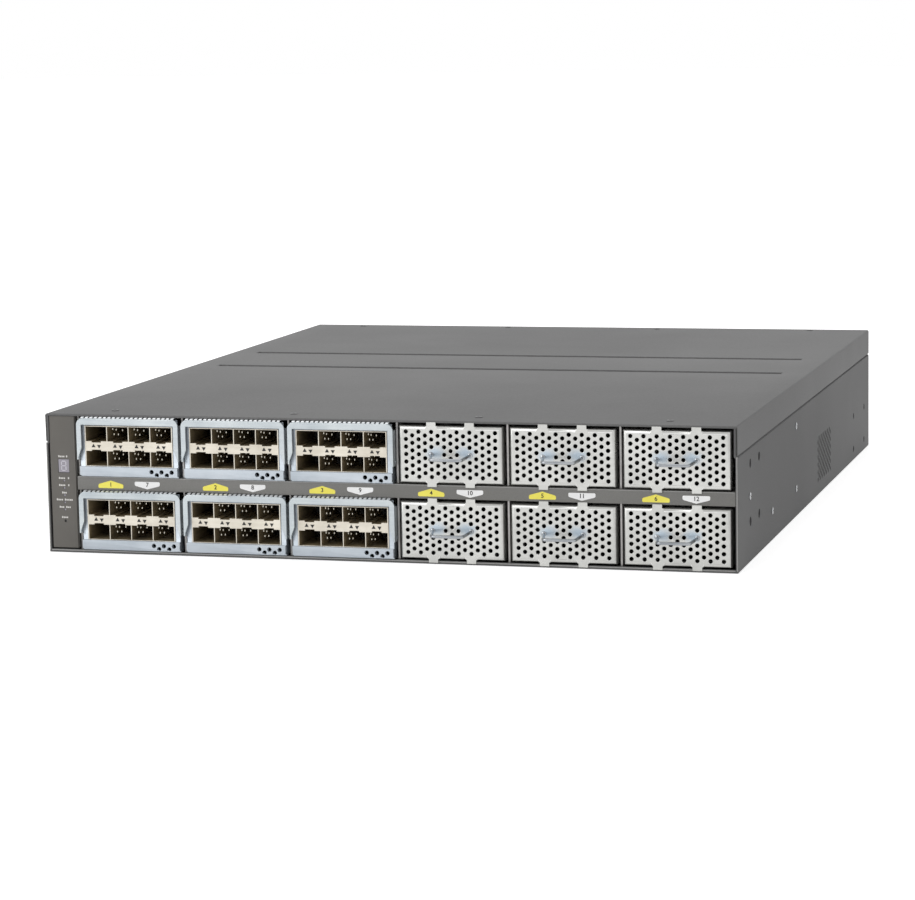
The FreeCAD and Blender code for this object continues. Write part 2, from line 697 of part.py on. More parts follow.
def make_ports():
    """Block of service sockets: two network jacks and a smaller serial one."""
    block = new_body("service_ports")
    middle = "(ports_side - width/2)"
    left = f"({middle} - ports_wide/2)"
    low = "(ports_high - ports_tall/2)"
    add(block, "front", "depth - ports_deep", "ports_deep",
        rect(left, low, f"{left} + ports_wide", f"{low} + ports_tall"))
    top = f"{low} + ports_tall - jack_frame"
    right = f"{left} + ports_wide - jack_frame"
    sockets = [
        rect(f"{left} + jack_frame", f"{low} + jack_frame", f"{left} + jack_frame + jack_wide", top),
        rect(f"{left} + 2*jack_frame + jack_wide", f"{low} + jack_frame",
             f"{left} + 2*jack_frame + 2*jack_wide", top),
        rect(f"{right} - jack_wide", f"{low} + 2*jack_frame", right, f"{low} + 5*jack_frame"),
    ]
    cut(block, "front", "depth - ports_deep + sheet", "ports_deep", *sockets)


def make_screws():
    """Screws that hold the cover and the inner frames, all alike."""
    screws = new_body("case_screws")
    head = add(screws, "top", "tall", "screw_tall",
               regular("screw_side - width/2", "screw_front", "screw_head", PIN_SIDES))
    grid(screws, head,
         ("X", "screw_pitch", "screws_across"), ("Y", "depth - screw_back - screw_front", 2))
    places = [
        ("ear_first - screw_ear", "ear_low + ear_rise/2 - screw_ear"),
        ("ear_first + ear_run + screw_run", "screw_low"),
        ("slot_deep + screw_wall", "ear_low + ear_rise"),
        ("slot_deep + screw_wall", "screw_low"),
    ]
    heads = [regular(y, z, "screw_head", PIN_SIDES) for y, z in places]
    add(screws, "side", HALF, "screw_tall", *heads)
    add(screws, "side", f"-{HALF} - screw_tall", "screw_tall", *heads)


# Port modules


def slot_x(number):
    """Middle of a slot: 1 to 6 are the upper row and 7 to 12 the lower one."""
    return f"({FIRST_DIVIDER} + slot_pitch*({(number - 1) % 6} + 0.5))"


def slot_z(number):
    """Base line of a slot, counted from the lower row."""
    return ROW if number <= 6 else "0"


def in_slots(piece, pattern, slots):
    """Put copies of a slot piece into the other slots."""
    for number in slots[1:]:
        copy_of(piece, pattern.format(number), slot_x(number), "-depth/2", slot_z(number))


def slot_body(pattern, slots):
    """Start a slot piece in the first of its slots."""
    first = slots[0]
    return new_body(pattern.format(first), slot_x(first), "-depth/2", slot_z(first))


def make_tray(slots):
    """Folded tray with the module's face, the lip under the cages and the bail's pivots."""
    tray = slot_body("module_{}_tray", slots)
    half = "(body_wide/2)"
    add(tray, "top", "tray_low", "plate", rect(f"-{half}", 0, half, "tray_deep"))
    add(tray, "front", 0, "plate", rect(f"-{half}", "tray_low", half, "face_low + face_tall"))
    add(tray, "front", 0, "tray_deep",
        rect(f"-{half}", "tray_low", f"-{half} + plate", "tray_low + tray_tall"),
        rect(f"{half} - plate", "tray_low", half, "tray_low + tray_tall"))
    window = "(cage_wide/2 + play)"
    cut(tray, "front", 0, "plate",
        rect(f"-{window}", "face_low + lip_tall - play", window, "cage_low + cage_tall + play"))
    lip = [
        (0, "face_low"),
        ("-lip_proud", "face_low"),
        ("-lip_proud", "face_low + lip_tall"),
        (0, "face_low + lip_tall"),
        (0, "face_low + lip_tall - plate"),
        ("plate - lip_proud", "face_low + lip_tall - plate"),
        ("plate - lip_proud", "face_low + plate"),
        (0, "face_low + plate"),
    ]
    add(tray, "side", f"-{half}", "body_wide", lip)
    pin = regular("pivot_back", "pivot_high", "pivot_pin", PIN_SIDES)
    reach = f"(bail_wide/2 - {half})"
    add(tray, "side", f"{half} - plate/2", f"{reach} + plate/2 - play", pin)
    add(tray, "side", f"-bail_wide/2 + play", f"{reach} + plate/2 - play", pin)
    in_slots(tray, "module_{}_tray", slots)


def make_board(slots):
    """Module board under the cages, with a narrower plug end for the midplane."""
    board = slot_body("module_{}_board", slots)
    half = "(body_wide/2 - plate - play)"
    shoulder = "(slot_deep - 3*socket_deep)"
    tip = "(slot_deep - socket_deep - play)"
    outline = mirrored([
        (half, "plate + play"),
        (half, shoulder),
        ("tongue_wide/2", shoulder),
        ("tongue_wide/2", tip),
    ])
    add(board, "top", BOARD_LOW, "board", outline)
    add(board, "top", f"{BOARD_LOW} + board/2", "board/2 + chip_tall",
        rect("-chip/3", "2*cage_deep", "chip/3", "2*cage_deep + 2*chip/3"))
    in_slots(board, "module_{}_board", slots)


def make_transceiver_cage(slots):
    """Two rows of transceiver cages in one pressed block."""
    cage = slot_body("module_{}_cages", slots)
    half = "(cage_wide/2)"
    add(cage, "front", "-cage_proud", "cage_deep + cage_proud",
        rect(f"-{half}", "cage_low", half, "cage_low + cage_tall"))
    left = "(-cell_pitch*(cages_across - 1)/2 - cell_wide/2)"
    low = "(cage_low + cell_low)"
    cell = cut(cage, "front", "-cage_proud - 1", "cell_deep + cage_proud + 1",
               rect(left, low, f"{left} + cell_wide", f"{low} + cell_tall"))
    grid(cage, cell, ("X", "cell_pitch", "cages_across"), ("Z", "cell_rise", 2))
    in_slots(cage, "module_{}_cages", slots)


def make_bail(slots):
    """Ejector bail: an arch round the module's face that swings down on two pins."""
    bail = slot_body("module_{}_bail", slots)
    half = "(bail_wide/2)"
    front = "(-bail_proud)"
    arch = mirrored([
        (f"{half} - bail_leg", "bail_top - bail_band"),
        (f"{half} - bail_leg", "taper_top"),
        (f"{half} - plate", "taper_end"),
        (f"{half} - plate", "bail_end"),
        (half, "bail_end"),
        (half, "bail_top"),
    ])
    add(bail, "front", front, "plate", arch)
    round_edges(bail, "bail_corner", is_outer_corner)
    side_top = "(bail_top - bail_corner)"
    add(bail, "front", front, "bail_side",
        rect(f"{half} - plate", "bail_end", half, side_top),
        rect(f"-{half}", "bail_end", f"-{half} + plate", side_top))
    add(bail, "front", front, "bail_proud - 2*play",
        rect(f"-{half} + bail_corner", "bail_top - plate", f"{half} - bail_corner", "bail_top"))
    cut(bail, "side", f"-{half} - 1", "bail_wide + 2",
        regular("pivot_back", "pivot_high", "pivot_pin + pivot_play", PIN_SIDES))
    in_slots(bail, "module_{}_bail", slots)


def is_outer_corner(edge, whole):
    """True for the arch's two upper outer edges, which run front to back."""
    on_side = min(edge.XMin - whole.XMin, whole.XMax - edge.XMax) < TOUCH
    return on_side and edge.XLength < TOUCH and whole.ZMax - edge.ZMin < TOUCH


def edges_of(body, wanted):
    """The body's last feature and those of its edges that pass the test, for a fillet or bevel."""
    doc.recompute()
    shape = body.Tip.Shape
    names = [
        f"Edge{i}" for i, edge in enumerate(shape.Edges, start=1)
        if wanted(edge.BoundBox, shape.BoundBox)
    ]
    return (body.Tip, names)


def round_edges(body, radius, wanted):
    """Fillet on the edges that pass the test."""
    base = edges_of(body, wanted)
    fillet = body.newObject("PartDesign::Fillet", "Fillet")
    fillet.Base = base
    fillet.setExpression("Radius", formula(radius))
    return fillet


# Blanking panels


def hole_outline(x, z):
    """One punched hole."""
    return regular(x, z, "hole", int(size("hole_sides")))


def make_blank(slots):
    """Perforated panel with folded edges and two holding tabs above and below.

    Full columns of holes alternate with columns one hole shorter.  Four holes are left out
    where the pull's feet stand.
    """
    panel = slot_body("blank_{}_panel", slots)
    half = "(body_wide/2)"
    top = "(face_low + blank_tall)"
    add(panel, "front", "-plate", "plate", rect(f"-{half}", "face_low", half, top))
    base = edges_of(panel, is_front_upright)
    bevel = panel.newObject("PartDesign::Chamfer", "Bevel")
    bevel.Base = base
    bevel.setExpression("Size", formula("blank_edge"))
    inner = rect(f"-{half} + plate", "face_low + plate", f"{half} - plate", f"{top} - plate")
    outer = rect(f"-{half}", "face_low", half, top)
    add(panel, "front", 0, "blank_deep", outer)
    cut(panel, "front", 0, "blank_deep + 1", inner)
    tabs = [
        rect(f"{side}*tab_out - tab_wide/2", low, f"{side}*tab_out + tab_wide/2", f"{low} + tab_long + plate")
        for side in (-1, 1)
        for low in ("(face_low - tab_long)", f"({top} - plate)")
    ]
    add(panel, "front", "-plate", "plate", *tabs)
    through = ("-plate - 1", "plate + 2")
    left = "(-hole_pitch*(hole_columns - 1)/2)"
    low = f"({FACE_MIDDLE} - hole_rise*(hole_rows - 1)/2)"
    full = cut(panel, "front", *through, hole_outline(left, low))
    grid(panel, full, ("X", "hole_pitch", "hole_columns"), ("Z", "hole_rise", "hole_rows"))
    short = cut(panel, "front", *through,
                hole_outline(f"({left} + hole_pitch/2)", f"({low} + hole_rise/2)"))
    grid(panel, short, ("X", "hole_pitch", "hole_columns - 1"), ("Z", "hole_rise", "hole_rows - 1"))
    solid = "(hole + play)"
    unpunched = [(f"{side}*hole_pitch", f"({FACE_MIDDLE} + {step}*hole_rise/2)")
                 for side in (-1, 1) for step in (-1, 1)]
    add(panel, "front", "-plate", "plate",
        *[rect(f"{x} - {solid}", f"{z} - {solid}", f"{x} + {solid}", f"{z} + {solid}") for x, z in unpunched])
    in_slots(panel, "blank_{}_panel", slots)


def is_front_upright(edge, whole):
    """True for the two upright edges at the sides of a panel's front."""
    on_side = min(edge.XMin - whole.XMin, whole.XMax - edge.XMax) < TOUCH
    return on_side and edge.XLength < TOUCH and edge.YMax - whole.YMin < TOUCH


def make_pull(slots):
    """Wire pull: two legs on the panel and a grip across them, with cut corners."""
    pull = slot_body("blank_{}_pull", slots)
    foot = "(-plate)"
    out = "(-plate - pull_out + pull_wire)"
    grip = f"({FACE_MIDDLE} - pull_drop)"
    path = pull.newObject("Sketcher::SketchObject", "Path")
    path.AttachmentSupport = [(origin_item(pull, PLANES["top"]), "")]
    path.MapMode = "FlatFace"
    path.setExpression("AttachmentOffset.Base.z", formula(FACE_MIDDLE))
    points = [
        ("-pull_half", foot),
        ("-pull_half", f"{out} + pull_bend"),
        ("-pull_half + pull_bend", out),
        ("pull_half - pull_bend", out),
        ("pull_half", f"{out} + pull_bend"),
        ("pull_half", foot),
    ]
    draw_path(path, points)
    ring = draw(pull, "front", foot, [regular("-pull_half", FACE_MIDDLE, "pull_wire", PIN_SIDES)])
    sweep = pull.newObject("PartDesign::AdditivePipe", "Wire")
    sweep.Profile = ring
    sweep.Spine = (path, [f"Edge{i}" for i in range(1, len(points))])
    sweep.Transition = "Right corner"
    in_slots(pull, "blank_{}_pull", slots)


def draw_path(sketch, points):
    """Open line whose corners are bound to the sizes."""
    count = len(points)
    start = [Vector(i, i % 2, 0) for i in range(count)]
    sketch.addGeometry([Part.LineSegment(start[i], start[i + 1]) for i in range(count - 1)])
    for i in range(count - 2):
        sketch.addConstraint(Sketcher.Constraint("Coincident", i, 2, i + 1, 1))
    for i, (x, y) in enumerate(points[:-1]):
        bind_point(sketch, i, 1, x, y, start[i])
    bind_point(sketch, count - 2, 2, *points[-1], start[-1])


# Plug-in units at the back


def unit_place(number):
    """Where a power supply stands: middle, rear plane and underside."""
    return ("unit_side - width/2", "depth/2", f"unit_low + {number}*{UNIT_PITCH}")


def make_power_supplies():
    """Power supplies with a mains inlet, an air grille and a sprung side latch."""
    case = new_body("power_1_case", *unit_place(0))
    half = "(unit_wide/2)"
    add(case, "front", "unit_proud - unit_long", "unit_long", rect(f"-{half}", 0, half, "unit_tall"))
    middle = "(unit_tall/2)"
    corner = "(inlet_tall/4)"
    inlet = [
        ("inlet_out - inlet_wide/2", f"{middle} - inlet_tall/2"),
        ("inlet_out + inlet_wide/2", f"{middle} - inlet_tall/2"),
        ("inlet_out + inlet_wide/2", f"{middle} + inlet_tall/2 - {corner}"),
        (f"inlet_out + inlet_wide/2 - {corner}", f"{middle} + inlet_tall/2"),
        (f"inlet_out - inlet_wide/2 + {corner}", f"{middle} + inlet_tall/2"),
        ("inlet_out - inlet_wide/2", f"{middle} + inlet_tall/2 - {corner}"),
    ]
    cut(case, "front", "unit_proud - inlet_deep", "inlet_deep + 1", inlet)
    first = "-inlet_out - inlet_wide/2 + grille_first"
    slot = cut(case, "front", "unit_proud - inlet_deep/2", "inlet_deep/2 + 1",
               rect(first, "grille_end", f"{first} + grille_slot", "unit_tall - grille_end"))
    grid(case, slot, ("X", "grille_pitch", "grille_slots"))
    room = "(latch_thick + play + latch_room)"
    cut(case, "front", "unit_proud - latch_long - play", "latch_long + play + 1",
        rect(f"-{half} - 1", f"{middle} - latch_tall/2 - play",
             f"-{half} + {room}", f"{middle} + latch_tall/2 + play"))
    copy_of(case, "power_2_case", *unit_place(1))
    latch = new_body("power_1_latch", *unit_place(0))
    left = f"(-{half} + play)"
    strip = [
        (left, "unit_proud - latch_long"),
        (f"{left} + latch_thick", "unit_proud - latch_long"),
        (f"{left} + latch_thick", "unit_proud + latch_out"),
        (left, "unit_proud + latch_out"),
    ]
    add(latch, "top", f"{middle} - latch_tall/2", "latch_tall", strip)
    copy_of(latch, "power_2_latch", *unit_place(1))


def make_fans():
    """Fan trays with a round duct and struts, and the bladed rotors that turn in them."""
    tray = new_body("fan_1_tray", fan_x(0), "depth/2", FAN_MIDDLE)
    body = "(fan_body/2)"
    flange = "(fan_flange/2)"
    add(tray, "front", "-fan_long", "fan_long", rect(f"-{body}", f"-{body}", body, body))
    add(tray, "front", 0, "plate", rect(f"-{flange}", f"-{flange}", flange, flange))
    cut(tray, "front", "-fan_long - 1", "fan_long + plate + 2", regular(0, 0, "fan_bore", DUCT_SIDES))
    strut = "(fan_strut/2)"
    add(tray, "front", "plate - fan_boss", "fan_boss",
        rect(f"-{body} + plate", f"-{strut}", f"{body} - plate", strut))
    add(tray, "front", "plate - fan_boss", "fan_boss",
        rect(f"-{strut}", f"-{body} + plate", strut, f"{body} - plate"))
    add(tray, "front", "plate - fan_boss", "fan_boss", regular(0, 0, "fan_hub", HUB_SIDES))
    rotor = new_body("fan_1_rotor", fan_x(0), "depth/2", FAN_MIDDLE)
    back = "(plate - fan_boss - fan_gap)"
    add(rotor, "front", "-fan_long + blade_thick", f"fan_long - blade_thick + {back}",
        regular(0, 0, "fan_hub", HUB_SIDES))
    outline = rotor.newObject("Sketcher::SketchObject", "Outline")
    outline.AttachmentSupport = [(origin_item(rotor, PLANES["top"]), "")]
    outline.MapMode = "FlatFace"
    outline.AttachmentOffset = Placement(Vector(), Rotation(Vector(1, 0, 0), size("blade_tilt")))
    outline.setExpression("AttachmentOffset.Rotation.Angle", formula("blade_tilt"))
    outline.setExpression("AttachmentOffset.Base.y", formula("-fan_long/2"))
    draw_outline(outline, rect("fan_hub - 2*blade_thick", "-blade_chord/2",
                               "fan_tip", "blade_chord/2"))
    blade = rotor.newObject("PartDesign::Pad", "Blade")
    blade.Profile = outline
    blade.Midplane = True
    blade.setExpression("Length", formula("blade_thick"))
    polar(rotor, blade, "Y", "blades")
    for index in range(1, int(size("fans"))):
        place = (fan_x(index), "depth/2", FAN_MIDDLE)
        copy_of(tray, f"fan_{index + 1}_tray", *place)
        copy_of(rotor, f"fan_{index + 1}_rotor", *place)


# Build, check and write


def check():
    """Stop if any feature failed or any piece is empty or invalid."""
    for item in doc.Objects:
        if "Invalid" in item.State or "Error" in item.State:
            raise RuntimeError(f"{item.Label} of {item.InList and item.InList[0].Label}: {item.State}")
    for piece in pieces:
        if piece.Shape.isNull() or not piece.Shape.isValid():
            raise RuntimeError(f"{piece.Label} has no valid shape")


def main():
    """Build the chassis switch and write one file for each sub-part."""
    fill_sheet()
    make_tub()
    make_cover()
    make_rung()
    make_cage_frame()
    make_status_panel()
    make_display()
    make_lamps()
    make_reset()
    make_midplane()
    make_switch_board()
    make_heat_sinks()
    make_rear_panel()
    make_ports()
    make_screws()
    port_slots = [1, 2, 3, 7, 8, 9]
    blank_slots = [4, 5, 6, 10, 11, 12]
    make_tray(port_slots)
    make_board(port_slots)
    make_transceiver_cage(port_slots)
    make_bail(port_slots)
    make_blank(blank_slots)
    make_pull(blank_slots)
    make_power_supplies()
    make_fans()
    doc.recompute()
    check()
    os.makedirs("parts", exist_ok=True)
    for piece in pieces:
        piece.Shape.exportStep(f"parts/{piece.Label}.step")


main()
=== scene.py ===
# %% [markdown]
# # A modular chassis switch, modelled and dressed in Blender
# The case is two rack units tall: a painted steel box with six slots side by side in two rows.
# Six slots hold port modules and six hold perforated blanking panels.
# Its solids come ready from the construction model. They are the frame that every piece below
# is fitted to. First the frame is loaded, and its size is kept.

# %% Load the frame
import json
import math

import bmesh
import bpy
from mathutils import Matrix, Vector


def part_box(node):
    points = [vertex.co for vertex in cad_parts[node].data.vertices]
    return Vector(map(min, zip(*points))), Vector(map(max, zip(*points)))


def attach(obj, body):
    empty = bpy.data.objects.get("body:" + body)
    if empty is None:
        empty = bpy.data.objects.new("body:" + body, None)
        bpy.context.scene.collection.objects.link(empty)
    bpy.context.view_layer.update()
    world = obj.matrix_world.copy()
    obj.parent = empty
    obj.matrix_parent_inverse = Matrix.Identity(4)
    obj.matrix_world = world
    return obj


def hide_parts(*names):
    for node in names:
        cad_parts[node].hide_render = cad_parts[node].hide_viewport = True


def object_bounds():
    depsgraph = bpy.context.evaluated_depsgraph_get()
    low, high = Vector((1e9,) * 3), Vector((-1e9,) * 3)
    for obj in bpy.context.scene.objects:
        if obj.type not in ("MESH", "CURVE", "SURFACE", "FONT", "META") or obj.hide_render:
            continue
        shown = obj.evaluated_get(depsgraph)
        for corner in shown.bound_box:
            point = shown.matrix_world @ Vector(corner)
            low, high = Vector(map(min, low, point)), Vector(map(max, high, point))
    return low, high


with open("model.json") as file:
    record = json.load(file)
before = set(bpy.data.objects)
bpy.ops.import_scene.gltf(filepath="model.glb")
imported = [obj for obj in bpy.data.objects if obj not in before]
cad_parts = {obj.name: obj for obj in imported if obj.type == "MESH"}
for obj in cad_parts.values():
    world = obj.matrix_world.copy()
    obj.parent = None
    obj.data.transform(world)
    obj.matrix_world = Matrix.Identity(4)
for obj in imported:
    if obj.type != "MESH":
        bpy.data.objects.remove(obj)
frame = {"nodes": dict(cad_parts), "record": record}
CAD_BOX = [list(corner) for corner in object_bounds()]
NODES = frame["nodes"]
MM = 0.001
print(len(NODES), "nodes, box", CAD_BOX)

# %% [markdown]
# ## Places
# A port module or a blanking panel is modelled once, round a slot's own origin: the middle of
# the slot, the front plane of the case and the slot's floor line. Copies then go to the other
# slots. The origins are read from the frame, so that nothing is measured twice.

# %% Slot origins
MODULE_SLOTS = (1, 2, 3, 7, 8, 9)
BLANK_SLOTS = (4, 5, 6, 10, 11, 12)
CASE_LOW, CASE_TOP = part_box("chassis_tub")
FRONT = CASE_LOW.y
ROW_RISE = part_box("blank_4_panel")[0].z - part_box("blank_10_panel")[0].z


def slot_origin(number):
    """Middle of a slot on the case's front plane, at the slot's floor line, in metres."""
    node = f"module_{number}_tray" if number in MODULE_SLOTS else f"blank_{number}_panel"
    low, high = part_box(node)
    return Vector(((low.x + high.x) / 2, FRONT, ROW_RISE if number <= 6 else 0))


print("rows are", round(ROW_RISE / MM, 2), "mm apart")

# %% [markdown]
# ## Working by hand, in code
# Each operator acts on what is selected, and the frame's nodes are selected after loading. So
# every step starts by deselecting everything. These few helpers do what a hand does in the
# viewport: add a box at its size, enter edit mode, pick faces or edges by their place, and
# apply a modifier. Sizes are in millimetres, because that is how the real sheet is measured.
# Two places closer than TOUCH count as the same. The selection mode is remembered from piece to
# piece, so edit() sets it back to vertices: in face mode a bare ring could not be extruded.

# %% Modelling helpers
TOUCH = 0.01


def deselect():
    """Leave edit mode and select nothing."""
    if bpy.context.object and bpy.context.object.mode != "OBJECT":
        bpy.ops.object.mode_set(mode="OBJECT")
    bpy.ops.object.select_all(action="DESELECT")


def choose(*pieces):
    """Select these objects, the first of them active."""
    deselect()
    for piece in pieces:
        piece.select_set(True)
    bpy.context.view_layer.objects.active = pieces[0]
    return pieces[0]


def settle(name):
    """Name the object just added and put its place into its mesh."""
    piece = bpy.context.object
    piece.name = name
    piece.data.name = name
    bpy.ops.object.transform_apply(location=True, rotation=True, scale=True)
    return piece


def add_box(name, low, high):
    """A box between two corners, in millimetres."""
    deselect()
    low, high = Vector(low), Vector(high)
    bpy.ops.mesh.primitive_cube_add(size=1, location=(low + high) / 2 * MM)
    bpy.context.object.scale = (high - low) * MM
    return settle(name)


def add_sheet(name, middle, wide, deep, upright=True):
    """A flat sheet in millimetres, standing across the front or lying flat."""
    deselect()
    bpy.ops.mesh.primitive_plane_add(size=1, location=[value * MM for value in middle],
                                     rotation=(math.pi / 2 if upright else 0, 0, 0))
    bpy.context.object.scale = (wide * MM, deep * MM, 1)
    return settle(name)


def add_rod(name, middle, radius, length, sides, axis="Y"):
    """A rod along an axis, in millimetres."""
    deselect()
    turn = {"X": (0, math.pi / 2, 0), "Y": (math.pi / 2, 0, 0), "Z": (0, 0, 0)}[axis]
    bpy.ops.mesh.primitive_cylinder_add(
        vertices=sides, radius=radius * MM, depth=length * MM,
        location=Vector(middle) * MM, rotation=turn)
    return settle(name)


def edit(piece):
    """Enter edit mode with the whole piece selected."""
    choose(piece)
    bpy.context.tool_settings.mesh_select_mode = (True, False, False)
    bpy.ops.object.mode_set(mode="EDIT")
    bpy.ops.mesh.select_all(action="SELECT")


def pick(kind, wanted):
    """In edit mode, select the vertices, edges or faces whose middle passes the test."""
    bpy.context.tool_settings.mesh_select_mode = (kind == "VERT", kind == "EDGE", kind == "FACE")
    mesh = bmesh.from_edit_mesh(bpy.context.object.data)
    for element in (*mesh.verts, *mesh.edges, *mesh.faces):
        element.select = False
    for element in {"VERT": mesh.verts, "EDGE": mesh.edges, "FACE": mesh.faces}[kind]:
        corners = [element] if kind == "VERT" else element.verts
        middle = sum((corner.co for corner in corners), Vector()) / len(corners) / MM
        if wanted(middle):
            element.select_set(True)
    bmesh.update_edit_mesh(bpy.context.object.data)


def face_outwards():
    """In edit mode, turn every face of the piece outwards."""
    bpy.ops.mesh.select_all(action="SELECT")
    bpy.ops.mesh.normals_make_consistent(inside=False)


def slice_at(axis, places):
    """In edit mode, cut the whole piece with planes across an axis."""
    normal = {"X": (1, 0, 0), "Y": (0, 1, 0), "Z": (0, 0, 1)}[axis]
    for place in places:
        bpy.ops.mesh.select_all(action="SELECT")
        bpy.ops.mesh.bisect(plane_co=Vector(normal) * place * MM, plane_no=normal)


def pull_out(x, y, z):
    """In edit mode, extrude what is selected by a distance in millimetres."""
    bpy.ops.mesh.extrude_region_move(
        TRANSFORM_OT_translate={"value": (x * MM, y * MM, z * MM)})


def modify(piece, kind, **values):
    """Add a modifier with these values and apply it."""
    choose(piece)
    modifier = piece.modifiers.new(kind.title(), kind)
    for name, value in values.items():
        setattr(modifier, name, value)
    bpy.ops.object.modifier_apply(modifier=modifier.name)


def repeat(piece, count, step):
    """Array along a step in millimetres."""
    modify(piece, "ARRAY", count=count, use_relative_offset=False, use_constant_offset=True,
           constant_offset_displace=Vector(step) * MM)


def carve(piece, cutter):
    """Cut one mesh out of another and throw the cutter away."""
    modify(piece, "BOOLEAN", operation="DIFFERENCE", solver="EXACT", object=cutter)
    bpy.data.objects.remove(cutter)


def join(name, pieces):
    """Several meshes as one piece."""
    piece = choose(*pieces)
    if len(pieces) > 1:
        bpy.ops.object.join()
    piece.name = name
    piece.data.name = name
    return piece


def soften(piece, angle=35):
    """Smooth shading up to an angle, in degrees."""
    choose(piece)
    bpy.ops.object.shade_smooth_by_angle(angle=math.radians(angle))


def copy_to(piece, name, shift):
    """A copy with its own mesh, moved by a shift in metres."""
    mesh = piece.data.copy()
    mesh.name = name
    mesh.transform(Matrix.Translation(shift))
    twin = bpy.data.objects.new(name, mesh)
    bpy.context.scene.collection.objects.link(twin)
    return twin


def declare(piece, body, replaced=None):
    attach(piece, body)
    if replaced:
        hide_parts(replaced)


def fill_slots(model, name, slots, body, replaced=None):
    for number in slots:
        piece = copy_to(model, f"{name}_{number}", slot_origin(number))
        declare(piece, f"{body}_{number}", replaced and replaced.format(number))
    bpy.data.objects.remove(model)
    print(name, "in slots", *slots)


print("helpers ready")

# %% [markdown]
# ## Finishes
# A real finish is never one flat colour. Powder coat has a fine orange peel, plated steel has
# faint rolling lines and cloudy patches, and a circuit board shows its tracks. Effects that
# several finishes share are shader node groups: each is built once, with named inputs, and is
# placed in every material with its own values. They read Object coordinates, which are metres
# here, so the grain has its real size on every piece.

# %% Colours


def tone(red, green, blue):
    """A colour as seen on a screen, from 0 to 255, as the linear values that shaders use."""
    def linear(value):
        value /= 255
        return value / 12.92 if value <= 0.04045 else ((value + 0.055) / 1.055) ** 2.4
    return (linear(red), linear(green), linear(blue), 1)


print("mid grey is", [round(v, 3) for v in tone(128, 128, 128)])

# %% Node helpers


def add_node(tree, kind, **values):
    """A shader node with some of its settings."""
    node = tree.nodes.new(kind)
    for name, value in values.items():
        setattr(node, name, value)
    return node


def feed(tree, value, socket):
    """Link another node's output to a socket, or set the socket to a plain value."""
    if hasattr(value, "links"):
        tree.links.new(value, socket)
    else:
        socket.default_value = value


def calculate(tree, operation, *values):
    """A math node on these values."""
    node = add_node(tree, "ShaderNodeMath", operation=operation)
    for value, socket in zip(values, node.inputs):
        feed(tree, value, socket)
    return node.outputs[0]


def noise(tree, vector, scale, detail=3.0):
    """A noise texture on these coordinates."""
    node = add_node(tree, "ShaderNodeTexNoise")
    feed(tree, vector, node.inputs["Vector"])
    feed(tree, scale, node.inputs["Scale"])
    node.inputs["Detail"].default_value = detail
    return node.outputs["Fac"]


def blend(tree, factor, first, second):
    """Two colours mixed by a mask."""
    node = add_node(tree, "ShaderNodeMix", data_type="RGBA")
    tree.links.new(factor, node.inputs["Factor"])
    feed(tree, first, node.inputs[6])
    feed(tree, second, node.inputs[7])
    return node.outputs[2]


def spread(tree, value, low, high, first, last):
    """A value between low and high, stretched to run from first to last."""
    node = add_node(tree, "ShaderNodeMapRange")
    tree.links.new(value, node.inputs["Value"])
    for name, setting in (("From Min", low), ("From Max", high), ("To Min", first), ("To Max", last)):
        feed(tree, setting, node.inputs[name])
    return node.outputs["Result"]


def new_group(name, inputs, outputs):
    """An empty node group with named sockets, and its two end nodes."""
    group = bpy.data.node_groups.new(name, "ShaderNodeTree")
    for label, kind, value in inputs:
        socket = group.interface.new_socket(name=label, in_out="INPUT", socket_type=kind)
        socket.default_value = value
    for label, kind in outputs:
        group.interface.new_socket(name=label, in_out="OUTPUT", socket_type=kind)
    enter = add_node(group, "NodeGroupInput")
    leave = add_node(group, "NodeGroupOutput")
    return group, enter.outputs, leave.inputs


SKIN = (("Colour", "NodeSocketColor"), ("Roughness", "NodeSocketFloat"), ("Height", "NodeSocketFloat"))
GREY = (0.5, 0.5, 0.5, 1)
print("node helpers ready")

# %% [markdown]
# ### Powder coat
# Baked powder leaves a fine bumpy skin, about half a millimetre from bump to bump, and its
# colour drifts a little over the panel. Two noises do it: a wide one for the colour and the
# gloss, and a fine one for the peel.

# %% Powder coat group
powder_coat, given, result = new_group(
    "powder_coat",
    [("Colour", "NodeSocketColor", GREY), ("Faded", "NodeSocketColor", GREY),
     ("Patch Scale", "NodeSocketFloat", 6), ("Peel Scale", "NodeSocketFloat", 1600),
     ("Roughness Low", "NodeSocketFloat", 0.4), ("Roughness High", "NodeSocketFloat", 0.5)],
    SKIN)
place = add_node(powder_coat, "ShaderNodeTexCoord").outputs["Object"]
patch = noise(powder_coat, place, given["Patch Scale"])
peel = noise(powder_coat, place, given["Peel Scale"], 2)
speck = spread(powder_coat, peel, 0.35, 0.65, 0, 1)
drift = spread(powder_coat, patch, 0.3, 0.7, 0, 0.8)
coat = blend(powder_coat, drift, given["Colour"], given["Faded"])
darker = add_node(powder_coat, "ShaderNodeHueSaturation")
darker.inputs["Value"].default_value = 0.9
powder_coat.links.new(coat, darker.inputs["Color"])
powder_coat.links.new(blend(powder_coat, speck, darker.outputs["Color"], coat), result["Colour"])
powder_coat.links.new(
    spread(powder_coat, patch, 0.3, 0.7, given["Roughness Low"], given["Roughness High"]),
    result["Roughness"])
powder_coat.links.new(peel, result["Height"])
print("powder_coat has", len(powder_coat.nodes), "nodes")

# %% [markdown]
# ### Plated and rolled steel
# Sheet steel keeps the direction in which it was rolled: long faint lines, crossed by cloudy
# patches of the plating. The lines are a noise that is stretched by a Mapping node. The stretch
# is an input, so that a panel can have lines along its length and a wire round it.

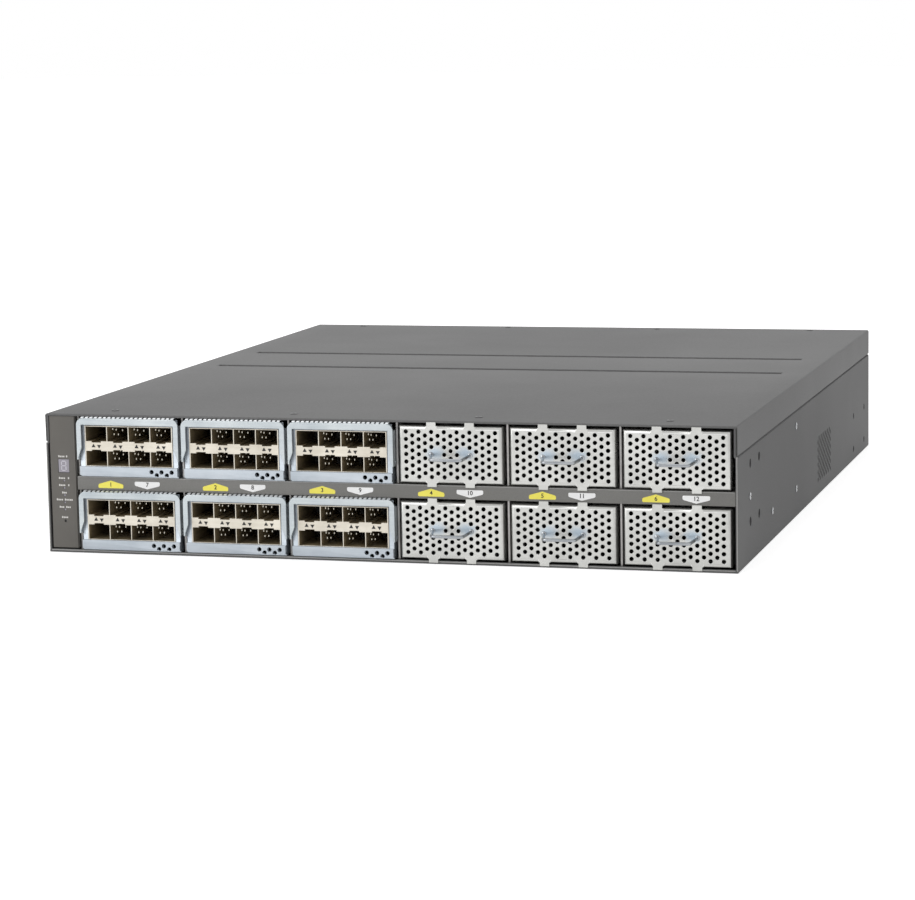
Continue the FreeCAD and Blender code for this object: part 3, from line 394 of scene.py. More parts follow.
# %% Rolled steel group
rolled_steel, given, result = new_group(
    "rolled_steel",
    [("Light", "NodeSocketColor", GREY), ("Dark", "NodeSocketColor", GREY),
     ("Stretch", "NodeSocketVector", (40, 900, 900)), ("Cloud Scale", "NodeSocketFloat", 60),
     ("Roughness Low", "NodeSocketFloat", 0.3), ("Roughness High", "NodeSocketFloat", 0.4)],
    SKIN)
place = add_node(rolled_steel, "ShaderNodeTexCoord").outputs["Object"]
mapping = add_node(rolled_steel, "ShaderNodeMapping")
rolled_steel.links.new(place, mapping.inputs["Vector"])
rolled_steel.links.new(given["Stretch"], mapping.inputs["Scale"])
line = noise(rolled_steel, mapping.outputs["Vector"], 1.0, 4)
cloud = noise(rolled_steel, place, given["Cloud Scale"], 4)
both = calculate(rolled_steel, "MULTIPLY_ADD", line, 0.45, cloud)
mask = spread(rolled_steel, both, 0.5, 0.95, 0, 1)
rolled_steel.links.new(blend(rolled_steel, mask, given["Light"], given["Dark"]), result["Colour"])
rolled_steel.links.new(
    spread(rolled_steel, both, 0.5, 0.95, given["Roughness Low"], given["Roughness High"]),
    result["Roughness"])
rolled_steel.links.new(line, result["Height"])
print("rolled_steel has", len(rolled_steel.nodes), "nodes")

# %% [markdown]
# ### Moulded plastic
# Moulded parts are even, with a fine spark-eroded grain and slightly glossier spots where they
# were handled.

# %% Moulded plastic group
moulded_plastic, given, result = new_group(
    "moulded_plastic",
    [("Colour", "NodeSocketColor", GREY), ("Handled", "NodeSocketColor", GREY),
     ("Grain Scale", "NodeSocketFloat", 2200),
     ("Roughness Low", "NodeSocketFloat", 0.4), ("Roughness High", "NodeSocketFloat", 0.6)],
    SKIN)
place = add_node(moulded_plastic, "ShaderNodeTexCoord").outputs["Object"]
smudge = noise(moulded_plastic, place, 45.0)
grain = noise(moulded_plastic, place, given["Grain Scale"], 1)
mask = spread(moulded_plastic, smudge, 0.4, 0.65, 0, 1)
moulded_plastic.links.new(
    blend(moulded_plastic, mask, given["Colour"], given["Handled"]), result["Colour"])
moulded_plastic.links.new(
    spread(moulded_plastic, smudge, 0.35, 0.65, given["Roughness High"], given["Roughness Low"]),
    result["Roughness"])
moulded_plastic.links.new(grain, result["Height"])
print("moulded_plastic has", len(moulded_plastic.nodes), "nodes")

# %% [markdown]
# ### Circuit board
# A board's solder mask is glossy green. The copper tracks under it are paler and stand a hair
# proud. Bricks of two sizes give straight tracks that turn at right angles.

# %% Circuit board group
circuit_board, given, result = new_group(
    "circuit_board",
    [("Mask", "NodeSocketColor", GREY), ("Track", "NodeSocketColor", GREY),
     ("Track Scale", "NodeSocketFloat", 160)],
    SKIN)
place = add_node(circuit_board, "ShaderNodeTexCoord").outputs["Object"]
bricks = add_node(circuit_board, "ShaderNodeTexBrick", offset=0.37, squash=0.6, squash_frequency=3)
circuit_board.links.new(place, bricks.inputs["Vector"])
circuit_board.links.new(given["Track Scale"], bricks.inputs["Scale"])
bricks.inputs["Mortar Size"].default_value = 0.045
bricks.inputs["Brick Width"].default_value = 1.3
circuit_board.links.new(
    blend(circuit_board, bricks.outputs["Fac"], given["Mask"], given["Track"]), result["Colour"])
circuit_board.links.new(
    spread(circuit_board, noise(circuit_board, place, 90.0), 0.3, 0.7, 0.25, 0.4),
    result["Roughness"])
circuit_board.links.new(bricks.outputs["Fac"], result["Height"])
print("circuit_board has", len(circuit_board.nodes), "nodes")

# %% [markdown]
# ### From group to material
# The shader stays in the material itself. A bump node turns the group's height into fine relief,
# and a bevel node rounds the light on sharp sheet edges by a few tenths of a millimetre, as the
# shear leaves them.

# %% Material helper


def new_finish(name, group, first, second, gloss, relief, edge=0.25, **values):
    """A material whose colour, gloss and relief come from a node group.

    The two colours, as seen on a screen, go to the group's first two inputs, and the gloss is its
    low and high roughness. The relief and the rounding of edges are in millimetres. Any further
    value goes to the group if it has such an input, or else to the shader.
    """
    material = bpy.data.materials.new(name)
    material.use_nodes = True
    tree = material.node_tree
    shader = tree.nodes["Principled BSDF"]
    effect = add_node(tree, "ShaderNodeGroup", node_tree=group)
    effect.inputs[0].default_value = tone(*first)
    effect.inputs[1].default_value = tone(*second)
    if gloss:
        effect.inputs["Roughness Low"].default_value = gloss[0]
        effect.inputs["Roughness High"].default_value = gloss[1]
    for label, value in values.items():
        label = label.replace("_", " ")
        owner = effect if label in effect.inputs else shader
        owner.inputs[label].default_value = value
    bump = add_node(tree, "ShaderNodeBump")
    bump.inputs["Strength"].default_value = 1
    bump.inputs["Distance"].default_value = relief * MM
    tree.links.new(effect.outputs["Colour"], shader.inputs["Base Color"])
    tree.links.new(effect.outputs["Roughness"], shader.inputs["Roughness"])
    tree.links.new(effect.outputs["Height"], bump.inputs["Height"])
    if edge:
        bevel = add_node(tree, "ShaderNodeBevel", samples=4)
        bevel.inputs["Radius"].default_value = edge * MM
        tree.links.new(bevel.outputs["Normal"], bump.inputs["Normal"])
    tree.links.new(bump.outputs["Normal"], shader.inputs["Normal"])
    return material


# %% Finishes of the case
case_paint = new_finish("case_paint", powder_coat, (105, 105, 105), (100, 100, 100), (0.6, 0.68),
                        0.012, edge=0.35, Peel_Scale=1100, Specular_IOR_Level=0.2)
cover_paint = new_finish("cover_paint", powder_coat, (108, 108, 108), (102, 102, 102),
                         (0.55, 0.62), 0.012, edge=0.45, Peel_Scale=700, Specular_IOR_Level=0.25)
strip_plastic = new_finish("strip_plastic", moulded_plastic, (98, 95, 90), (93, 90, 85),
                           (0.42, 0.55), 0.004, edge=0.2)
zinc_steel = new_finish("zinc_steel", rolled_steel, (188, 195, 202), (172, 180, 188), (0.34, 0.46),
                        0.002, Stretch=(40, 900, 900), Metallic=0.75)
divider_steel = new_finish("divider_steel", rolled_steel, (182, 180, 178), (156, 154, 152),
                           (0.38, 0.5), 0.004, Stretch=(900, 40, 900), Metallic=0.6)
satin_steel = new_finish("satin_steel", rolled_steel, (222, 218, 213), (200, 196, 192),
                         (0.24, 0.34), 0.003, Stretch=(60, 700, 700), Cloud_Scale=45,
                         Metallic=0.85)
cage_metal = new_finish("cage_metal", rolled_steel, (224, 218, 205), (199, 192, 178), (0.34, 0.46),
                        0.003, edge=0.12, Stretch=(60, 600, 600), Metallic=0.6)
bright_wire = new_finish("bright_wire", rolled_steel, (172, 175, 178), (136, 140, 145),
                         (0.08, 0.16), 0.002, edge=0, Stretch=(120, 700, 700), Metallic=1.0)
bare_aluminium = new_finish("bare_aluminium", rolled_steel, (206, 206, 208), (184, 185, 188),
                            (0.3, 0.42), 0.006, Stretch=(900, 30, 900), Metallic=0.9)
board_green = new_finish("board_green", circuit_board, (24, 74, 48), (52, 112, 72), None, 0.03,
                         edge=0)
black_plastic = new_finish("black_plastic", moulded_plastic, (34, 34, 35), (44, 44, 45),
                           (0.4, 0.58), 0.006)
latch_green = new_finish("latch_green", moulded_plastic, (52, 130, 74), (46, 118, 66), (0.35, 0.5),
                         0.005)
clear_lens = new_finish("clear_lens", moulded_plastic, (158, 154, 164), (150, 146, 156),
                        (0.15, 0.28), 0.002, edge=0.15, Grain_Scale=900, Coat_Weight=0.4)
print(len(bpy.data.materials), "materials")

# %% [markdown]
# ## Dressing the frame
# The frame's nodes keep their shapes and get these finishes. Each node's finish is looked up by the
# name of the slot that it came with, and every slot of the node gets it. The cover and the frame of
# the slots get finishes of their own.

# %% Give each node its finish
FINISHES = {
    "case_paint": case_paint, "panel_plastic": strip_plastic, "zinc_steel": zinc_steel,
    "satin_steel": satin_steel, "cage_metal": cage_metal, "bright_wire": bright_wire,
    "board_green": board_green, "clear_lens": clear_lens, "black_plastic": black_plastic,
    "bare_aluminium": bare_aluminium, "latch_green": latch_green,
}
NODE_SLOT = {part["node"]: part["material_slot"] for part in frame["record"]["subparts"]}
for name, node in NODES.items():
    finish = FINISHES[NODE_SLOT[name]]
    for slot in node.material_slots:
        slot.material = finish
for slot in NODES["top_cover"].material_slots:
    slot.material = cover_paint
for slot in NODES["slot_frame"].material_slots:
    slot.material = divider_steel
print("nodes dressed")

# %% [markdown]
# ## Blanking panel
# An empty slot is closed by a folded steel pan. Its face has a staggered field of punched holes,
# its four edges are folded back, and two tabs above and below slide into the frame, each with a
# small relief notch at both sides so that the fold doesn't tear. The quick way is a box with a
# picture of holes. Here the sheet is made as it is in the shop: a flat face is sliced where the
# tabs and notches are, its edges are extruded back as folds, the folds are bevelled, Solidify
# gives the thickness, and rods of the punch's size are cut out.

# %% Panel sizes
PLATE = 1.0
PANEL_FOLD = 2.0
panel_low, panel_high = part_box("blank_10_panel")
PANEL_HALF = (panel_high.x - panel_low.x) / 2 / MM
TAB_LONG = 2.2
PANEL_BOTTOM = panel_low.z / MM + TAB_LONG
PANEL_TOP = panel_high.z / MM - TAB_LONG
PANEL_MIDDLE = (PANEL_BOTTOM + PANEL_TOP) / 2
PANEL_DEEP = (panel_high.y - FRONT) / MM
TAB_OUT, TAB_HALF, NOTCH = 12, 2.9, 1.1
print("panel", PANEL_HALF * 2, "by", round(PANEL_TOP - PANEL_BOTTOM, 2))


def at_tab(x):
    """True across a holding tab."""
    return abs(abs(x) - TAB_OUT) < TAB_HALF


def at_notch(x):
    """True across a tab or the notches beside it."""
    return abs(abs(x) - TAB_OUT) < TAB_HALF + NOTCH


# %% The folded sheet
panel = add_sheet("blanking_panel", (0, -PLATE, PANEL_MIDDLE), 2 * PANEL_HALF,
                  PANEL_TOP - PANEL_BOTTOM)
edit(panel)
slice_at("X", [side * (TAB_OUT + step * reach) for side in (-1, 1) for step in (-1, 1)
               for reach in (TAB_HALF, TAB_HALF + NOTCH)])


def on_rim(place):
    """An edge of the face's outline that gets a fold."""
    upright = abs(abs(place.x) - PANEL_HALF) < TOUCH
    level = min(abs(place.z - PANEL_TOP), abs(place.z - PANEL_BOTTOM)) < TOUCH
    return upright or (level and not at_notch(place.x))


pick("EDGE", on_rim)
pull_out(0, PANEL_DEEP + PLATE, 0)
pick("EDGE", lambda place: on_rim(place) and place.y < -PLATE + TOUCH)
bpy.ops.mesh.bevel(offset=PANEL_FOLD * MM, segments=4, profile=0.5)
for side, height in ((1, PANEL_TOP), (-1, PANEL_BOTTOM)):
    pick("EDGE", lambda place: abs(place.z - height) < TOUCH and place.y < -PLATE + TOUCH
         and at_tab(place.x))
    pull_out(0, 0, side * TAB_LONG)
face_outwards()
deselect()
face = max(panel.data.polygons, key=lambda polygon: polygon.area)
if face.normal.y > 0:
    panel.data.flip_normals()
modify(panel, "SOLIDIFY", thickness=PLATE * MM, offset=-1, use_even_offset=True)
print("folded sheet:", len(panel.data.polygons), "faces")

# %% [markdown]
# ### The punched field
# Eight full columns of seven holes alternate with seven short columns of six. Six holes are left
# out round the feet of the pull, where the plate has to be whole. One rod is copied by two
# arrays, and the rods at those places are deleted before the cut. Every hole then gets a small
# slanted rim: its front edges are picked by their distance to the nearest hole's middle, and a
# bevel of one segment slants them.

# %% Punch the holes
HOLE, RIM, COLUMN_STEP, HOLE_STEP = 1.3, 0.25, 8.0, 4.6
FULL_COLUMNS, FULL_ROWS = 8, 7


def rod_field(name, columns, rows):
    """Rods in a grid round the middle of the panel."""
    left = -COLUMN_STEP * (columns - 1) / 2
    low = PANEL_MIDDLE - HOLE_STEP * (rows - 1) / 2
    rods = add_rod(name, (left, -PLATE / 2, low), HOLE, 3 * PLATE, 20)
    repeat(rods, columns, (COLUMN_STEP, 0, 0))
    repeat(rods, rows, (0, 0, HOLE_STEP))
    return rods


def near_foot(place):
    """A rod where a foot of the pull stands."""
    x, z = abs(place.x), abs(place.z - PANEL_MIDDLE)
    in_full_column = abs(x - 1.5 * COLUMN_STEP) < HOLE + 0.7 and z < HOLE + 0.2
    in_short_column = abs(x - COLUMN_STEP) < HOLE + 0.6 and abs(z - HOLE_STEP / 2) < HOLE + 0.2
    return in_full_column or in_short_column


punch = join("punch", [rod_field("full_columns", FULL_COLUMNS, FULL_ROWS),
                       rod_field("short_columns", FULL_COLUMNS - 1, FULL_ROWS - 1)])
edit(punch)
pick("VERT", near_foot)
bpy.ops.mesh.delete(type="VERT")
deselect()
carve(panel, punch)


def from_hole(place):
    """How far a place lies from the nearest punched hole's middle: across and up."""
    x, z = place.x / COLUMN_STEP, (place.z - PANEL_MIDDLE) / HOLE_STEP
    full = (FULL_COLUMNS - 1) / 2 % 1, (FULL_ROWS - 1) / 2 % 1
    offsets = []
    for at_x, at_z in (full, ((full[0] + 0.5) % 1, (full[1] + 0.5) % 1)):
        offsets.append(((x - at_x - round(x - at_x)) * COLUMN_STEP,
                        (z - at_z - round(z - at_z)) * HOLE_STEP))
    return min(offsets, key=lambda offset: math.hypot(*offset))


edit(panel)
pick("EDGE", lambda place: abs(place.y + PLATE) < TOUCH
     and math.hypot(*from_hole(place)) < HOLE + 0.02)
bpy.ops.mesh.bevel(offset=RIM * MM, segments=1)
deselect()
soften(panel, 40)
print("punched panel:", len(panel.data.polygons), "faces")

# %% [markdown]
# ### Painted bluish sheen
# Round the feet of the pull the steel is painted with a bluish sheen, a painted reflection. The finish
# needs to know places on the panel, wherever the panel stands, so the panel gets a UV map that is just
# its own width and height. The sheen is the distance to a foot, broken up by noise. Taking the
# absolute distance from the middle line makes both feet at once. The lower half of every hole's
# rim faces up to the light, so those faces get a painted highlight: a brighter steel in a second slot.

# %% Panel steel with its painted sheen
MAP_SCALE = 10
painted_blue_sheen, given, result = new_group(
    "painted_blue_sheen", [("Colour", "NodeSocketColor", GREY), ("Tint", "NodeSocketColor", GREY)],
    (("Colour", "NodeSocketColor"),))
flat = add_node(painted_blue_sheen, "ShaderNodeUVMap", uv_map="panel_map").outputs["UV"]
split = add_node(painted_blue_sheen, "ShaderNodeSeparateXYZ")
painted_blue_sheen.links.new(flat, split.inputs[0])
folded = add_node(painted_blue_sheen, "ShaderNodeCombineXYZ")
painted_blue_sheen.links.new(calculate(painted_blue_sheen, "ABSOLUTE", split.outputs[0]), folded.inputs[0])
painted_blue_sheen.links.new(split.outputs[1], folded.inputs[1])
squash = add_node(painted_blue_sheen, "ShaderNodeMapping")
squash.inputs["Location"].default_value = (-0.095, -1.5 * (PANEL_MIDDLE + 1.2) * MM * MAP_SCALE, 0)
squash.inputs["Scale"].default_value = (1, 1.5, 1)
painted_blue_sheen.links.new(folded.outputs[0], squash.inputs["Vector"])
away = add_node(painted_blue_sheen, "ShaderNodeVectorMath", operation="LENGTH")
painted_blue_sheen.links.new(squash.outputs["Vector"], away.inputs[0])
ragged = calculate(painted_blue_sheen, "MULTIPLY_ADD", noise(painted_blue_sheen, flat, 28.0), 0.05,
                   away.outputs["Value"])
sheen_mask = spread(painted_blue_sheen, ragged, 0.045, 0.1, 0.75, 0)
painted_blue_sheen.links.new(blend(painted_blue_sheen, sheen_mask, given["Colour"], given["Tint"]), result["Colour"])

panel_steel = new_finish("panel_steel", rolled_steel, (201, 201, 198), (184, 184, 181),
                         (0.26, 0.36), 0.001, Stretch=(60, 700, 700), Cloud_Scale=45,
                         Metallic=0.85)
tree = panel_steel.node_tree
shader = tree.nodes["Principled BSDF"]
skin = shader.inputs["Base Color"].links[0].from_socket
sheen_tinted = add_node(tree, "ShaderNodeGroup", node_tree=painted_blue_sheen)
# Painted reflection: the bluish colour that the sheen mixes into the steel round the feet.
sheen_tinted.inputs["Tint"].default_value = tone(166, 184, 200)
tree.links.new(skin, sheen_tinted.inputs["Colour"])
tree.links.new(sheen_tinted.outputs["Colour"], shader.inputs["Base Color"])
# Painted highlight: an almost white steel for the lower half of each hole's rim, where the light
# catches it.
rim_highlight_steel = new_finish("rim_highlight_steel", rolled_steel, (250, 250, 248), (238, 238, 236), (0.3, 0.4),
                       0.001, edge=0, Stretch=(700, 700, 700), Metallic=0.1)
panel.data.materials.append(panel_steel)
panel.data.materials.append(rim_highlight_steel)
edit(panel)
pick("FACE", lambda place: 0.02 < place.y + PLATE < RIM and from_hole(place)[1] < -0.2
     and math.hypot(*from_hole(place)) < HOLE + RIM)
panel.active_material_index = 1
bpy.ops.object.material_slot_assign()
deselect()
panel_map = panel.data.uv_layers.new(name="panel_map")
for loop in panel.data.loops:
    corner = panel.data.vertices[loop.vertex_index].co
    panel_map.data[loop.index].uv = (corner.x * MAP_SCALE, corner.z * MAP_SCALE)
print("panel steel ready")

# %% Panels in their slots
fill_slots(panel, "blanking_panel", BLANK_SLOTS, "blank", "blank_{}_panel")

# %% [markdown]
# ## Wire pull
# The pull is a bright steel rod bent twice and welded at its feet. A tube along a curve would
# do, but spinning shows how a bender works: a ring is extruded along the leg, spun round the
# bending centre by a right angle, and extruded to the middle. The bend is then moved inwards and
# down a little, since the legs spread to their feet and the grip hangs. Mirror makes the other
# half.

# %% Bend the wire
WIRE, COLLAR, COLLAR_TALL = 1.0, 1.6, 0.5
PULL_HALF, PULL_BEND, SPLAY, SAG = 12.2, 2.4, 2.2, 1.4
PULL_OUT = (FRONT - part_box("blank_10_pull")[0].y) / MM
deselect()
bpy.ops.mesh.primitive_circle_add(
    vertices=20, radius=WIRE * MM, location=(PULL_HALF * MM, -PLATE * 0.4 * MM, PANEL_MIDDLE * MM),
    rotation=(math.pi / 2, 0, 0))
wire = settle("wire_pull")
edit(wire)
bend_y = -(PULL_OUT - WIRE - PULL_BEND)
pull_out(0, bend_y + PLATE * 0.4, 0)
bpy.ops.mesh.spin(steps=8, angle=math.pi / 2, axis=(0, 0, 1),
                  center=((PULL_HALF - PULL_BEND) * MM, bend_y * MM, PANEL_MIDDLE * MM))
pull_out(-(PULL_HALF - PULL_BEND - SPLAY), 0, 0)
pick("VERT", lambda place: place.y < bend_y + 0.1)
bpy.ops.transform.translate(value=(-SPLAY * MM, 0, -SAG * MM))
deselect()
reach = [corner.co.x / MM for corner in wire.data.vertices]
print("half wire from x", round(min(reach), 2), "to", round(max(reach), 2))
modify(wire, "MIRROR", use_axis=(True, False, False), merge_threshold=0.01 * MM)
edit(wire)
bpy.ops.mesh.remove_doubles(threshold=0.005 * MM)
bpy.ops.mesh.normals_make_consistent(inside=False)
soften(wire, 60)
wire.data.materials.append(bright_wire)

# %% [markdown]
# Each foot has a small weld collar. A short rod is bevelled at its front edge, so that it looks
# like metal that has flowed.

# %% Weld collars
collars = []
for side in (-1, 1):
    collar = add_rod("collar", (side * PULL_HALF, -PLATE - 0.1, PANEL_MIDDLE),
                     COLLAR, COLLAR_TALL, 20)
    edit(collar)
    pick("FACE", lambda place: place.y < -PLATE - 0.3)
    bpy.ops.mesh.inset(thickness=0.35 * MM)
    bpy.ops.transform.translate(value=(0, -0.25 * MM, 0))
    deselect()
    collars.append(collar)
collars = join("weld_collars", collars)
soften(collars, 60)
collars.data.materials.append(bright_wire)
pull = join("wire_pull", [wire, collars])
fill_slots(pull, "wire_pull", BLANK_SLOTS, "blank", "blank_{}_pull")
print("pulls stand out", round(PULL_OUT, 2), "mm")

# %% [markdown]
# ## Transceiver cages
# A module has eight cages in two rows, pressed from one sheet. Between the rows runs a bright
# band, and over and under each cage's middle it is notched for the transceiver's release. The
# block is a box sliced along every edge of the cages and notches. The faces that lie in a cage
# or a notch are then extruded inwards all at once, which leaves the thin walls standing.

# %% Cage block
cages_low, cages_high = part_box("module_7_cages")
CAGES_HALF = (cages_high.x - cages_low.x) / 2 / MM
CAGES_BOTTOM, CAGES_TOP = cages_low.z / MM, cages_high.z / MM
CAGES_FRONT = (cages_low.y - FRONT) / MM
CAGES_BACK = (cages_high.y - FRONT) / MM
CELL_PITCH, CELL_WIDE, CELL_TALL, CELL_RISE, CELL_LOW = 14.4, 13.85, 9.2, 15.4, 0.35
CELL_DEEP = 44
CATCH_WIDE, CATCH_TALL = 6.2, 0.85
cell_middles = [CELL_PITCH * (index - 1.5) for index in range(4)]
lower_floor = CAGES_BOTTOM + CELL_LOW
lower_top = lower_floor + CELL_TALL
upper_floor = lower_floor + CELL_RISE
upper_top = upper_floor + CELL_TALL


def in_cell(place):
    """Inside the opening of one of the eight cages."""
    across = any(abs(place.x - middle) < CELL_WIDE / 2 for middle in cell_middles)
    return across and (lower_floor < place.z < lower_top or upper_floor < place.z < upper_top)


def in_catch(place):
    """Inside a notch of the band between the rows."""
    across = any(abs(place.x - middle) < CATCH_WIDE / 2 for middle in cell_middles)
    return across and (lower_top < place.z < lower_top + CATCH_TALL
                       or upper_floor - CATCH_TALL < place.z < upper_floor)


cage = add_box("cage_block", (-CAGES_HALF, CAGES_FRONT, CAGES_BOTTOM),
               (CAGES_HALF, CAGES_BACK, CAGES_TOP))
edit(cage)
slice_at("X", [middle + side * width / 2 for middle in cell_middles for side in (-1, 1)
               for width in (CELL_WIDE, CATCH_WIDE)])
slice_at("Z", [lower_floor, lower_top, lower_top + CATCH_TALL,
               upper_floor - CATCH_TALL, upper_floor, upper_top])
pick("FACE", lambda place: place.y < CAGES_FRONT + TOUCH and (in_cell(place) or in_catch(place)))
pull_out(0, CELL_DEEP, 0)
deselect()
print("cage block:", len(cage.data.polygons), "faces")

# %% [markdown]
# Inside, the cages look almost black, because little light gets in. That shade is painted: those
# faces get a second finish, a dark bronze that is also duller, picked by their place behind the front.

# %% Dark insides
# Painted shade: a dark bronze for the cages' inside faces, darker than the cage metal at the front.
cage_painted_shade = new_finish("cage_painted_shade", rolled_steel, (150, 134, 104), (96, 86, 66), (0.5, 0.65),
                         0.003, edge=0, Stretch=(500, 60, 500))
cage.data.materials.append(cage_metal)
cage.data.materials.append(cage_painted_shade)
edit(cage)
pick("FACE", lambda place: CAGES_FRONT + 0.1 < place.y < CAGES_FRONT + CELL_DEEP + TOUCH
     and abs(place.x) < CAGES_HALF - TOUCH and CAGES_BOTTOM + TOUCH < place.z < CAGES_TOP - TOUCH)
cage.active_material_index = 1
bpy.ops.object.material_slot_assign()
deselect()
fill_slots(cage, "cage_block", MODULE_SLOTS, "module", "module_{}_cages")

# %% [markdown]
# Deep in each cage sits the black connector that the transceiver's board goes into. It starts as
# a block; its front face is inset and pushed in for the slot.

# %% Connectors
PLUG_HALF, PLUG_FRONT, PLUG_BACK, PLUG_TALL = 5.6, 30, 42, 5.4
SLOT_RIM, SLOT_DEEP, PLUG_ROUND = 1.5, 6, 0.6
plug = add_box("connector", (-PLUG_HALF, PLUG_FRONT, 0), (PLUG_HALF, PLUG_BACK, PLUG_TALL))
edit(plug)
pick("FACE", lambda place: place.y < PLUG_FRONT + TOUCH)
bpy.ops.mesh.inset(thickness=SLOT_RIM * MM)
pull_out(0, SLOT_DEEP, 0)
pick("EDGE", lambda place: abs(abs(place.x) - PLUG_HALF) < TOUCH
     and abs(place.z - PLUG_TALL) < TOUCH)
bpy.ops.mesh.bevel(offset=PLUG_ROUND * MM, segments=2)
deselect()
plugs = [copy_to(plug, "connector", Vector((middle, 0, floor_line)) * MM)
         for middle in cell_middles for floor_line in (lower_floor, upper_floor)]
bpy.data.objects.remove(plug)
plugs = join("connectors", plugs)
plugs.data.materials.append(black_plastic)
soften(plugs, 35)
fill_slots(plugs, "connectors", MODULE_SLOTS, "module")

# %% [markdown]
# The walls between neighbouring cages are pierced for cooling. Seen from the front right, the
# rims of these holes catch the light as scattered bright dots. A dot is all that is modelled: a
# filled circle, extruded off the wall to a thin disc, with its face inset once. Its pale finish
# also glows a little: a painted highlight that stands in for the light on the rims. The list holds
# how far each one lies behind the case's front and how high over its cage's floor.

# %% Cooling holes of the inner walls
COOLING_HOLES = ((9, 6.6), (11, 3.0), (14.5, 5.4), (18, 1.9), (20.5, 6.8), (25, 3.6),
                 (30, 6.2), (35, 1.8))
COOLING_RADIUS, DOT_RISE, DOT_INSET = 0.56, 0.14, 0.16
rim = []
for depth, height in COOLING_HOLES:
    for floor_line in (lower_floor, upper_floor):
        for middle in cell_middles[1:]:
            wall = middle - CELL_WIDE / 2
            deselect()
            bpy.ops.mesh.primitive_circle_add(
                vertices=8, radius=COOLING_RADIUS * MM, fill_type="NGON",
                location=(wall * MM, depth * MM, (floor_line + height) * MM),
                rotation=(0, math.pi / 2, 0))
            rim.append(settle("cooling_hole"))
rim = join("cooling_holes", rim)
edit(rim)
pull_out(DOT_RISE, 0, 0)
bpy.ops.mesh.inset(thickness=DOT_INSET * MM, use_individual=True)
deselect()
# Painted highlight: pale, faintly glowing dots for the light caught on the rims of the cooling holes.
rim_glint_glow = new_finish("rim_glint_glow", rolled_steel, (235, 232, 222), (215, 210, 198), (0.3, 0.4), 0.001,
                     edge=0, Emission_Color=tone(235, 230, 215), Emission_Strength=0.75)
rim.data.materials.append(rim_glint_glow)
fill_slots(rim, "cooling_holes", MODULE_SLOTS, "module")

# %% [markdown]
# Two small arrows on the band show which cage a lamp belongs to: one points up and one down.
# Each is a three-sided rod lying in the face of the band, printed black.

# %% Arrows on the band
arrow_middle = (lower_top + upper_floor) / 2
ARROW_RADIUS, ARROW_THICK = 1.45, 0.4
UP_AND_DOWN = ((-1.9, 0), (1.85, math.pi))
arrows = []
for middle in cell_middles:
    for shift, turn in UP_AND_DOWN:
        arrow = add_rod("arrow", (0, 0, 0), ARROW_RADIUS, ARROW_THICK, 3)
        top = max(arrow.data.vertices, key=lambda corner: corner.co.z).co.z
        low = min(arrow.data.vertices, key=lambda corner: corner.co.z).co.z
        upside = abs(top) < abs(low)
        arrow.rotation_euler = (0, turn + (math.pi if upside else 0), 0)
        arrow.location = Vector((middle + shift, CAGES_FRONT, arrow_middle)) * MM
        choose(arrow)
        bpy.ops.object.transform_apply(location=True, rotation=True, scale=True)
        arrows.append(arrow)
arrows = join("arrows", arrows)
print_black = new_finish("print_black", moulded_plastic, (16, 15, 14), (22, 20, 19), (0.4, 0.55),
                         0.002, edge=0)
arrows.data.materials.append(print_black)
fill_slots(arrows, "band_arrows", MODULE_SLOTS, "module")

# %% [markdown]
# ## Borrowing a node's shape
# Where a node's form is right but a detail is missing, a copy of its mesh is the best start. The
# copy's loose triangles are merged, and flat areas become single faces again, so that edges can
# be bevelled and holes cut. The node itself is left alone.

# %% Copy of a node


def from_node(name, node, shift):
    """A merged copy of a node's mesh, moved by a shift in metres."""
    piece = copy_to(NODES[node], name, shift)
    piece.data.materials.clear()
    edit(piece)
    bpy.ops.mesh.remove_doubles(threshold=0.002 * MM)
    bpy.ops.mesh.dissolve_limited(angle_limit=math.radians(0.5))
    deselect()
    return piece


def round_off(piece, width, segments=2, angle=40):
    """Bevel the sharp edges by a width in millimetres, and smooth the shading."""
    modify(piece, "BEVEL", width=width * MM, segments=segments, limit_method="ANGLE",
           angle_limit=math.radians(angle), use_clamp_overlap=True, harden_normals=False)
    soften(piece, 40)


# %% [markdown]
# ## Module tray
# The folded tray carries the module's face and the lip under the cages. Near its right end the
# lip is pierced by five air holes in a zigzag: three in its front, and two low ones that run
# through the bend. Rods are cut out of a copy of the tray, and the lip's lower edge is rounded
# as a press brake leaves it. Smooth shading would smear the light of that round edge over the
# whole flat lip, so the Weighted Normal modifier lets the large faces decide.

# %% Tray with a pierced lip
LIP_HOLE, LIP_ROUND = 1.4, 1.3
LIP_HOLES = ((15.4, 5.95), (22.0, 5.95), (28.7, 5.95), (18.8, 4.0), (25.5, 4.0))
lip_front = (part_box("module_7_tray")[0].y - FRONT) / MM
lip_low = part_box("module_7_tray")[0].z / MM
tray = from_node("module_tray", "module_7_tray", -slot_origin(7))
drills = [add_rod("drill", (x, lip_front + 0.5, z), LIP_HOLE, 13, 20) for x, z in LIP_HOLES]
carve(tray, join("drills", drills))
edit(tray)
pick("EDGE", lambda place: abs(place.y - lip_front) < 0.02 and abs(place.z - lip_low) < 0.02)
bpy.ops.mesh.bevel(offset=LIP_ROUND * MM, segments=5)
deselect()
soften(tray, 30)
modify(tray, "WEIGHTED_NORMAL", keep_sharp=True)
tray.data.materials.append(zinc_steel)
fill_slots(tray, "tray", MODULE_SLOTS, "module", "module_{}_tray")
print("lip stands at y", round(lip_front, 2))

# %% [markdown]
# ## Ejector bail
# The bail is the bright arch round each module. It swings down on two pins and levers the module
# out. Its edges are well rounded for the hand, so the copy gets a real bevel, and weighted
# normals like the tray.

